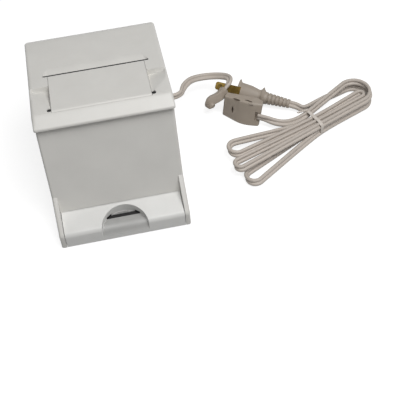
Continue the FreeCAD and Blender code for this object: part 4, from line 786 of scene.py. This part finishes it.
def prism(corners, low, high):
    """Four corners seen from above, in mm and against the clock, carried from one height to another."""
    outline = np.column_stack([corners, np.zeros(4)])
    vertices = np.concatenate([outline + (0, 0, low), outline + (0, 0, high)]) / 1000
    return vertices, [[3, 2, 1, 0], [4, 5, 6, 7], [0, 1, 5, 4], [1, 2, 6, 5], [2, 3, 7, 6], [3, 0, 4, 7]]


def flat_box(low, high):
    """A box between two corners, in mm."""
    (left, front, under), (right, rear, over) = low, high
    return prism([(left, front), (right, front), (right, rear), (left, rear)], under, over)


# Dark pieces that paint shade in the groove, the pits and the slot, and the drawer bar's lip, in mm
GAP_SHADE_INSET, GAP_SHADE_LOW, GAP_SHADE_HIGH = 0.1, 88.0, 91.25
PIT_SHADE_PLATE = (1.45, 87.2, 92.7)
SLOT_CUT = ((-14.4, -51.5, 10.9), (14.4, -48.6, 12.4))
SLOT_FLOOR = ((-14.3, -51.55, 8.6), (14.3, -48.45, 10.45))
SLOT_END, SLOT_END_HEIGHTS = [(12.1, -51.4), (14.3, -51.4), (14.3, -48.7), (8.6, -48.7)], (8.6, 12.3)
BAR_LIP = ((-42.8, -44.8, 17.4), (42.8, -44.0, 18.95))


def gap_painted_shades():
    """Dark strip a little below the cap's top behind the flap, and a plate in each front pit: painted shade.
    """
    half, front, rear = GROOVE[0] - GAP_SHADE_INSET, GROOVE[1] + GAP_SHADE_INSET, GROOVE[2] - GAP_SHADE_INSET
    reach, low, high = PIT_SHADE_PLATE
    return merged([flat_box((-half, front, GAP_SHADE_LOW), (half, rear, GAP_SHADE_HIGH))]
                  + [flat_box((x - reach, PIT[1] - reach, low), (x + reach, PIT[1] + reach, high))
                     for x in (-PIT[0], PIT[0])])


def slot_painted_shades():
    """Dark insert under the slot in the finger notch, and its two ends in the notch's wall: painted shade.
    """
    mirrored = [(-x, y) for x, y in np.array(SLOT_END)[[1, 0, 3, 2]]]
    return merged([flat_box(*SLOT_FLOOR), *(prism(end, *SLOT_END_HEIGHTS) for end in (SLOT_END, mirrored))])


def joined(node):
    """Vertices and faces of a CAD node with its loose triangles joined at equal points."""
    mesh = node.data
    spots, corners = np.empty(3 * len(mesh.vertices)), np.empty(len(mesh.loops), dtype=np.int32)
    mesh.vertices.foreach_get("co", spots)
    mesh.loops.foreach_get("vertex_index", corners)
    spots = spots.reshape(-1, 3)
    _, first, place = np.unique(np.round(spots, 7), axis=0, return_index=True, return_inverse=True)
    faces = place.reshape(-1)[corners].reshape(-1, 3)
    return spots[first], faces[(faces != np.roll(faces, 1, axis=1)).all(axis=1)].tolist()


# Plug: its face in metres, and its heading, pitch and roll

PLUG_START = np.array([0.1085, 0.0562, 0.0098])
PLUG_HEADING, PLUG_PITCH, PLUG_ROLL = (math.radians(angle) for angle in (-29.5, 4.4, 50.0))
# Stations in mm: distance from its face, half height, half depth, exponent of the oval
PLUG_STATIONS = np.array([
    (0.0, 9.60, 6.60, 1.40), (0.35, 10.25, 6.95, 1.35), (0.9, 10.10, 6.95, 1.40), (2.0, 8.10, 6.80, 1.70),
    (3.2, 7.60, 6.60, 2.20), (6.0, 7.50, 6.50, 2.40), (11.0, 7.00, 6.20, 2.40), (16.0, 5.80, 5.80, 2.30),
    (18.0, 5.30, 5.60, 2.10), (19.2, 6.10, 5.70, 1.70), (20.2, 8.05, 6.20, 1.45), (20.9, 8.15, 6.60, 1.45),
    (21.7, 6.50, 5.70, 1.80), (22.8, 5.20, 4.90, 2.10), (24.0, 4.90, 4.60, 2.20), (43.4, 3.50, 3.00, 2.20)])
# The strain relief's start, end and ribbed part, and its grooves' depth and steepness
RELIEF_START, RELIEF_END = 24.0, 43.4
RIBBED_FROM, RIBBED_TO = 24.2, 42.4
GROOVE_CUT, GROOVE_STEEPNESS, GROOVE_SHIFT = 0.75, 3.5, 2.0
BLADE_SPACING = 12.7


def plug_axes():
    """Blade width, blade spacing, and along the cord."""
    along = dipping(PLUG_HEADING, PLUG_PITCH)
    aside = np.array([-math.sin(PLUG_HEADING), math.cos(PLUG_HEADING), 0.0])
    lift = np.cross(along, aside)
    wide = aside * math.sin(PLUG_ROLL) + lift * math.cos(PLUG_ROLL)
    return wide, np.cross(along, wide), along


def plug_body(ribs):
    """Ovals along the plug, whose half height, half depth and exponent follow the stations.

    The strain relief's reach drops in each groove, by its cut times a steep sine clipped to 0 and 1.
    """
    s = np.concatenate([np.arange(0.0, RELIEF_START, 0.35), np.arange(RELIEF_START, RELIEF_END + 0.01, 0.2)])
    high, deep, power = (np.interp(s, PLUG_STATIONS[:, 0], PLUG_STATIONS[:, k])[:, None] for k in (1, 2, 3))
    share = np.clip((s - RIBBED_FROM) / (RIBBED_TO - RIBBED_FROM), 0.0, 1.0) * ribs
    wave = np.sin((share % 1.0) * 2 * math.pi - math.pi / 2)
    groove = np.clip(wave * GROOVE_STEEPNESS - GROOVE_SHIFT, 0.0, 1.0)
    cut = GROOVE_CUT * groove * ((s > RIBBED_FROM) & (s < RIBBED_TO))
    a = circle(56)
    oval = oval_reach(a, high, deep, power) - cut[:, None]
    wide, spaced, along = plug_axes()
    return closed_grid(PLUG_START + (s[:, None, None] * along + (oval * np.cos(a))[..., None] * wide
                                     + (oval * np.sin(a))[..., None] * spaced) / 1000)


def blade(offset, hole):
    """A flat blade with a hole and chamfered tip corners, in mm.

    From the hole's centre, the outer edge at angle a is the nearest of the straight sides,
    d / (n . (cos a, sin a)), and rings at eight places round the thickness join it to the hole.
    """
    length, half, thick, sunk, seat, chamfer, bevel = 17.5, 3.175, 0.75, 3.0, 3.9, 0.75, 0.22
    diagonal = 0.7071
    foot, corner = length + sunk - seat, (seat + half) * diagonal - chamfer
    sides = [(0.0, half), (math.pi, half), (math.pi / 2, foot), (-math.pi / 2, seat),
             (-math.pi / 4, corner), (-3 * math.pi / 4, corner)]
    a = np.linspace(-math.pi, math.pi, 97)[:-1]
    a = np.sort(np.concatenate([a, [math.atan2(foot, half), math.atan2(foot, -half)]]))
    facing = np.cos(a[:, None] - np.array([turn for turn, _ in sides]))
    reach = np.array([d for _, d in sides]) / np.maximum(facing, 1e-6)
    reach = np.min(np.where(facing > 1e-6, reach, 1e3), axis=1)
    edge = hole / 2
    rings = [(edge + bevel, -thick), (reach - bevel, -thick), (reach, -thick + bevel),
             (reach, thick - bevel), (reach - bevel, thick), (edge + bevel, thick), (edge, thick - bevel),
             (edge, -thick + bevel)]
    wide, spaced, along = plug_axes()
    rows = []
    for radius, height in rings:
        across, ahead = np.cos(a) * radius, np.sin(a) * radius + seat - length
        rows.append(PLUG_START + (across[:, None] * wide + ahead[:, None] * along
                                  + (height + offset) * spaced) / 1000)
    return np.concatenate(rows), grid_faces(len(rings), len(a), closed=True)


# Tap and lead plug, in mm: the tap's outlines below and above, how far their corners are rounded, and its
# pockets: middle, inward, up, half height, half width, depth and exponent

TAP_LOW = np.array([(92.2, 42.4, 0.3), (104.1, 27.4, 0.3), (113.3, 23.3, 0.3), (117.3, 21.9, 0.3),
                    (121.2, 30.6, 0.3), (119.4, 36.4, 0.3), (96.9, 46.6, 0.3)])
TAP_HIGH = np.array([(94.7, 42.4, 20.3), (109.6, 32.1, 19.1), (115.4, 29.9, 18.4), (122.6, 28.2, 17.4),
                     (123.9, 31.8, 17.5), (120.9, 36.8, 17.9), (97.6, 46.9, 20.3)])
TAP_CORNERS = np.array([1.3, 6.0, 3.0, 1.3, 1.3, 1.6, 1.3])
TAP_EDGE = 1.3
TAP_POCKETS = [
    ((100.0, 36.8, 9.6), (0.60, 0.74, -0.2), (0.1, 0.1, 1.0), 3.6, 0.95, 3.5, 1.3),
    *((middle, (0.0, 0.0, -1.0), (0.82, -0.57, 0.0), 3.4, 0.8, 3.0, 1.6)
      for middle in ((103.5, 37.0, 19.7), (112.5, 33.6, 18.7))),
    ((118.2, 24.4, 8.5), (-0.86, 0.50, 0.0), UPWARD, 3.9, 2.3, 3.2, 3.0),
    *((middle, (-0.35, 0.93, 0.0), UPWARD, 0.55, 0.55, 2.2, 2.0)
      for middle in ((115.9, 22.6, 12.4), (116.0, 22.1, 9.4), (116.1, 21.7, 6.4)))]
LEAD_PLUG_SPINE = np.array([(97.2, 51.9, 18.6), (94.0, 47.6, 17.8), (89.6, 46.0, 16.2), (85.4, 45.8, 15.2),
                            (83.0, 44.8, 13.2), (83.2, 43.4, 9.2)]) / 1000
# The lead plug's half height and half depth at shares of its length; in metres, the rounding of its ends
LEAD_PLUG_SHARES = (0.0, 0.25, 0.55, 0.8, 1.0)
LEAD_PLUG_HIGH, LEAD_PLUG_DEEP = (3.3, 3.6, 3.7, 3.9, 3.3), (2.6, 2.5, 2.4, 2.7, 2.6)
LEAD_PLUG_END, LEAD_PLUG_POWER = 0.0016, 7


def rounded_loop(corners, rounds, steps=6):
    """Closed outline with its corners rounded: at each, the curve (1-t)^2 P + 2t(1-t) C + t^2 N.

    P and N lie on the two sides, a given distance from the corner C.
    """
    before, after = np.roll(corners, 1, axis=0), np.roll(corners, -1, axis=0)
    first = corners + unit(before - corners) * rounds[:, None]
    last = corners + unit(after - corners) * rounds[:, None]
    t = np.linspace(0.0, 1.0, steps)[None, :, None]
    curve = (1 - t)**2 * first[:, None] + 2 * t * (1 - t) * corners[:, None] + t**2 * last[:, None]
    return curve.reshape(-1, 3)


def drafted_block(low, high, rounds, edge, levels=9):
    """A block between two outlines, its upper and lower edges rounded.

    A level at share t is low + t (high - low), drawn in towards its middle near either end.
    """
    low, high = rounded_loop(low, rounds), rounded_loop(high, rounds)
    tall = float(np.linalg.norm(high.mean(axis=0) - low.mean(axis=0)))
    near = edge * (1 - np.cos(np.linspace(0.0, math.pi / 2, levels)))
    share = np.concatenate([near, np.linspace(edge, tall - edge, 8)[1:-1], tall - near[::-1]]) / tall
    rings = low + share[:, None, None] * (high - low)
    inset = rounding(np.minimum(share, 1 - share) * tall, edge)
    across = np.roll(rings, -1, axis=1) - np.roll(rings, 1, axis=1)
    inward = unit(np.cross(UPWARD, across))
    return closed_grid(rings + inward * inset[:, None, None])


def pocket(middle, inward, up, half_height, half_width, depth, power):
    """An oval round its middle, carried inwards from 2 mm outside."""
    middle, inward, up = (np.asarray(v, float) for v in (middle, inward, up))
    inward = unit(inward)
    up = unit(up - inward * np.dot(up, inward))
    across = np.cross(inward, up)
    a = circle(28)
    reach = oval_reach(a, half_height, half_width, power)
    loop = reach[:, None] * (np.cos(a)[:, None] * up + np.sin(a)[:, None] * across)
    return closed_grid(np.stack([(middle + loop + inward * d) / 1000 for d in (-2.0, depth)]))


def make_tap():
    """Three-way tap with a rounded front, its outlets, and the recess where the cord comes out."""
    block = drafted_block(TAP_LOW / 1000, TAP_HIGH / 1000, TAP_CORNERS / 1000, TAP_EDGE / 1000)
    piece = new_piece("tap_moulding", block, "plug_plastic", ["tap_block", "tap_relief"], flat_above=32.0)
    cut_out(piece, [pocket(*facts) for facts in TAP_POCKETS])


def lead_plug_body():
    """A finger grip that bends down at its tip: a rounded oblong carried along a curve.

    Near each end its half height and half depth shrink by a part that follows sqrt(1 - (1 - d / e)^2).
    """
    path = smooth_path(LEAD_PLUG_SPINE, 12)
    along = distances(path)
    near = LEAD_PLUG_END * np.linspace(0.02, 0.9, 6)
    s = np.sort(np.concatenate([along[-1] * np.linspace(0, 1, 40), near, along[-1] - near]))
    a = circle(40)
    section = around(a, oval_reach(a, 1.0, 1.0, LEAD_PLUG_POWER))
    end = np.clip(np.minimum(s, s[-1] - s) / LEAD_PLUG_END, 0.0, 1.0)
    size = np.sqrt(np.maximum(1 - (1 - end)**2, 0.01)) * 0.55 + 0.45
    high, deep = (np.interp(s / s[-1], LEAD_PLUG_SHARES, halves) / 1000 * size
                  for halves in (LEAD_PLUG_HIGH, LEAD_PLUG_DEEP))
    return closed_grid(carried(between(s, along, path), section, (-0.1, 0.5, 0.86), high, deep))


# Tie, in mm: where the strap passes the waist, and the tail's start, heading, dip, length and twist

STRAP_LEFT, STRAP_RIGHT, STRAP_LOW, STRAP_HIGH = 8.8, 11.6, 0.1, 13.05
STRAP_HALF_WIDTH, STRAP_HALF_THICKNESS = 1.35, 0.3
TAIL_SPOT, TAIL_HEIGHT, TAIL_HEADING, TAIL_DIP = 0.0096, 0.0140, math.radians(186.0), 0.05
TAIL_LENGTH, TAIL_TURNS, TAIL_RADIUS, TAIL_WIRE = 0.0088, 2.5, 0.00042, 0.00085


def tie_band():
    """A rounded strap round the waist: a flat section carried round an oblong of exponent 5."""
    middle = np.array([(STRAP_RIGHT - STRAP_LEFT) / 2, (STRAP_LOW + STRAP_HIGH) / 2])
    half = np.array([(STRAP_LEFT + STRAP_RIGHT) / 2 + STRAP_HALF_THICKNESS, (STRAP_HIGH - STRAP_LOW) / 2])
    a, b = circle(72), circle(12)
    reach = oval_reach(a, *half, 5.0)
    slot, height = middle[0] + reach * np.cos(a), middle[1] + reach * np.sin(a)
    across = STRAP_HALF_WIDTH * np.sign(np.cos(b)) * np.abs(np.cos(b))**0.6
    out = STRAP_HALF_THICKNESS * np.sin(b) - STRAP_HALF_THICKNESS
    heading = np.array([*level(WAIST_HEADING), 0.0])
    side = np.array([-heading[1], heading[0], 0.0])
    slot = slot[:, None] + out[None] * np.cos(a)[:, None]
    height = height[:, None] + out[None] * np.sin(a)[:, None]
    points = np.array([*WAIST, 0.0]) + (slot[..., None] * side + across[None, :, None] * heading) / 1000
    points[..., 2] += height / 1000
    return points.reshape(-1, 3), grid_faces(len(a), len(b), closed=True)


def tie_tail():
    """Two wires wound round each other: axis point + r (cos(a), sin(a)) in the plane square to the axis."""
    start = np.array([*waist_spot(TAIL_SPOT), TAIL_HEIGHT])
    along = dipping(TAIL_HEADING, TAIL_DIP)
    side = unit(np.cross(along, UPWARD))
    lift = np.cross(side, along)
    s = np.linspace(0.0, 1.0, 60)
    parts = []
    for phase in (0.0, math.pi):
        a = phase + s * 2 * math.pi * TAIL_TURNS
        path = (start + s[:, None] * TAIL_LENGTH * along
                + TAIL_RADIUS * (np.cos(a)[:, None] * side + np.sin(a)[:, None] * lift))
        parts.append(closed_grid(carried(path, round_section(TAIL_WIRE, 8))))
    return parts


# Operators

class WARMER_OT_casing(Operator):
    """Give each CAD node its finish, make the finer cap, drawer bar, its lip and dark pieces of painted
    shade
    """
    bl_idname = "warmer.casing"
    bl_label = "Casing and its inside"

    def execute(self, context):
        finishes = make_finishes()
        slots = {sub["node"]: sub["material_slot"] for sub in frame["record"]["subparts"]}
        for name, node in NODES.items():
            node.data.materials.clear()
            node.data.materials.append(finishes[slots[name]])
        new_piece("cap_shell", cap_shell(), "white_casing", ["cap"], flat_above=35.0)
        # A dark strip and plates that paint the shade behind the flap and in the cap's corner pits
        new_piece("gap_painted_shade", gap_painted_shades(), "black_rubber", flat_above=35.0)
        bar = new_piece("drawer_bar", joined(NODES["drawer_front"]), "white_drawer", ["drawer_front"],
                        body="drawer", flat_above=32.0)
        cut_out(bar, [flat_box(*SLOT_CUT)])
        new_piece("bar_lip", flat_box(*BAR_LIP), "white_drawer", body="drawer")
        # A dark insert that paints the shade seen through the notch's slot
        new_piece("slot_painted_shade", slot_painted_shades(), "black_rubber", body="drawer")
        return {"FINISHED"}


class WARMER_OT_blades(Operator):
    """Two brass blades with chamfered tips and a hole"""
    bl_idname = "warmer.blades"
    bl_label = "Plug blades"

    def execute(self, context):
        hole = context.scene.warmer_plug.hole * 1000
        pair = merged([blade(offset, hole) for offset in (-BLADE_SPACING / 2, BLADE_SPACING / 2)])
        new_piece("blades", pair, "brass", ["plug_blades"])
        return {"FINISHED"}


class WARMER_OT_plug(Operator):
    """Moulded plug with pointed finger flanges and a ribbed strain relief"""
    bl_idname = "warmer.plug"
    bl_label = "Power plug"

    def execute(self, context):
        body = plug_body(context.scene.warmer_plug.ribs)
        new_piece("plug_moulding", body, "plug_plastic", ["power_plug"])
        return {"FINISHED"}


class WARMER_OT_tie(Operator):
    """Strap and twisted tail that hold the hank at its waist"""
    bl_idname = "warmer.tie"
    bl_label = "Cord tie"

    def execute(self, context):
        new_piece("cord_tie", merged([tie_band(), *tie_tail()]), "tie", ["twist_tie"])
        return {"FINISHED"}


class WARMER_OT_lead(Operator):
    """The warmer's own lead, inside and outside, with its plug and the tap that the plug is in"""
    bl_idname = "warmer.lead"
    bl_label = "Lead"

    def execute(self, context):
        new_piece("lead_plug_moulding", lead_plug_body(), "plug_plastic", ["lead_plug"])
        make_tap()
        path = smooth_path(LEAD_ROUTE)
        lay_cord("lead", path, ["lead_cord"], turned_up(path, LEAD_SPOTS, LEAD_LEANS),
                 exit=LEAD_ROUTE[0], far_end="plug", lay="loose",
                 with_pieces=["lead_plug_moulding", "tap_moulding"])
        lay_cord("lead_inside", smooth_path(INNER_ROUTE), ["inner_cord"],
                 exit=INNER_ROUTE[0], far_end="object", lay="loose")
        return {"FINISHED"}


class WARMER_OT_extension(Operator):
    """The extension cord: out of the tap, through the tie, folded into a hank, and to the plug"""
    bl_idname = "warmer.extension"
    bl_label = "Extension cord"

    def execute(self, context):
        route = extension_route()
        path = smooth_path(route)
        end = path_length(path)
        spots = (*TAP_SPOTS, *(end - spot for spot in PLUG_SPOTS))
        up = turned_up(path, spots, [*EXTENSION_LEANS, plug_axes()[0]])
        lay_cord("extension_cord", path, ["tap_cord", "hank", "plug_cord"], up,
                 exit=route[0], far_end="plug", lay="coiled",
                 with_pieces=["plug_moulding", "blades", "cord_tie"])
        return {"FINISHED"}


class WARMER_OT_wires(Operator):
    """Insulated wires between the terminals and the heater"""
    bl_idname = "warmer.wires"
    bl_label = "Heater wires"

    def execute(self, context):
        wires = [closed_grid(carried(smooth_path(route), round_section(WIRE_DIAMETER), (0.05, 0.1, 1.0)))
                 for route in HEATER_WIRES]
        new_piece("heater_wires", merged(wires), "wire", ["heater_leads"])
        return {"FINISHED"}


class WARMER_OT_stage(Operator):
    """Floor, surrounding light, softbox and camera"""
    bl_idname = "warmer.stage"
    bl_label = "Stage"

    def execute(self, context):
        look = context.scene.warmer_stage
        make_floor(look.floor)
        make_surroundings(look.fill)
        make_softbox("key", look.key, (0.30, -0.40, 1.05), 0.75)
        make_camera()
        context.scene.view_settings.view_transform = "Standard"
        return {"FINISHED"}


WHITE = (1.0, 1.0, 1.0, 1.0)


def seen_directly(tree):
    """1 for camera, glossy and transmission rays, otherwise 0."""
    rays = add_node(tree, "LightPath").outputs
    first = maths(tree, "MAXIMUM", rays["Is Camera Ray"], rays["Is Glossy Ray"])
    return maths(tree, "MAXIMUM", first, rays["Is Transmission Ray"])


def make_floor(colour):
    """A pale round floor that looks white, and keeps the object's shadow."""
    count, radius, middle = 64, 2.5, np.array([0.06, 0.02, 0.0])
    ring = np.column_stack([around(circle(count)), np.zeros(count)]) * radius + middle
    mesh = bpy.data.meshes.new("floor")
    mesh.from_pydata(ring.tolist(), [], [list(range(count))])
    finish, tree, shader = new_finish("floor")
    for title, value in (("Base Color", (*colour, 1.0)), ("Roughness", 0.9), ("Specular IOR Level", 0.0),
                         ("Emission Color", WHITE)):
        shader[title].default_value = value
    tree.links.new(maths(tree, "MULTIPLY", seen_directly(tree), 0.80), shader["Emission Strength"])
    mesh.materials.append(finish)
    floor = placed("floor", mesh)


def make_surroundings(fill):
    """A white world to the eye, and a weak even light to everything else."""
    world = bpy.data.worlds.new("surroundings")
    world.use_nodes = True
    tree = world.node_tree
    background = tree.nodes["Background"].inputs
    background["Color"].default_value = WHITE
    tree.links.new(ranged(tree, seen_directly(tree), 0.0, 1.0, start=fill), background["Strength"])
    bpy.context.scene.world = world


def make_softbox(name, power, place, size):
    """A square lamp that looks at the casing's middle."""
    lamp = bpy.data.lights.new(name, "AREA")
    lamp.energy = power
    lamp.size = size
    holder = placed(name, lamp)
    holder.location = place
    away = holder.location - Vector((0.03, 0.0, 0.05))
    holder.rotation_mode = "QUATERNION"
    holder.rotation_quaternion = away.to_track_quat("Z", "Y")


# Camera in front of the warmer, above it and a little to its left: its place, and its right,
# up and backward directions.
CAMERA_PLACE = (0.0032272, -0.42830309, 0.46744405)
CAMERA_AXES = np.array([(0.9790270479, -0.1974350934, -0.0502535897),
                        (0.1833535617, 0.7463514594, 0.6397976012),
                        (-0.0888116592, -0.6355933314, 0.7668986936)])


def make_camera():
    """The camera whose frame matches a square picture 36 mm wide behind a 74 mm lens."""
    lens = bpy.data.cameras.new("camera")
    lens.sensor_width = 36.0
    lens.lens = 74.241
    lens.clip_start = 0.01
    holder = placed("camera", lens)
    matrix = np.eye(4)
    matrix[:3, :3] = CAMERA_AXES.T
    matrix[:3, 3] = CAMERA_PLACE
    holder.matrix_world = Matrix(matrix)
    bpy.context.scene.camera = holder


class WARMER_PT_looks(Panel):
    """Sizes and colours of the warmer's looks, and the steps that make them"""
    bl_label = "Cartridge warmer"
    bl_idname = "WARMER_PT_looks"
    bl_space_type = "VIEW_3D"
    bl_region_type = "UI"
    bl_category = "Warmer"

    def draw(self, context):
        layout = self.layout
        for name, _ in SETTINGS:
            group = getattr(context.scene, name)
            for key in group.__annotations__:
                layout.prop(group, key)
        for step in OPERATORS:
            layout.operator(step.bl_idname)


SETTINGS = [("warmer_casing", CasingSettings), ("warmer_cord", CordSettings), ("warmer_plug", PlugSettings),
            ("warmer_stage", StageSettings)]
OPERATORS = [WARMER_OT_casing, WARMER_OT_blades, WARMER_OT_plug, WARMER_OT_tie, WARMER_OT_lead,
             WARMER_OT_extension, WARMER_OT_wires, WARMER_OT_stage]


def register():
    for name, group in SETTINGS:
        bpy.utils.register_class(group)
        setattr(bpy.types.Scene, name, PointerProperty(type=group))
    for step in [*OPERATORS, WARMER_PT_looks]:
        bpy.utils.register_class(step)


def unregister():
    for step in [WARMER_PT_looks, *reversed(OPERATORS)]:
        bpy.utils.unregister_class(step)
    for name, group in reversed(SETTINGS):
        delattr(bpy.types.Scene, name)
        bpy.utils.unregister_class(group)


def main():
    register()
    bpy.ops.warmer.casing()
    bpy.ops.warmer.blades()
    bpy.ops.warmer.plug()
    bpy.ops.warmer.tie()
    bpy.ops.warmer.lead()
    bpy.ops.warmer.extension()
    bpy.ops.warmer.wires()
    bpy.ops.warmer.stage()


if __name__ == "__main__":
    main()
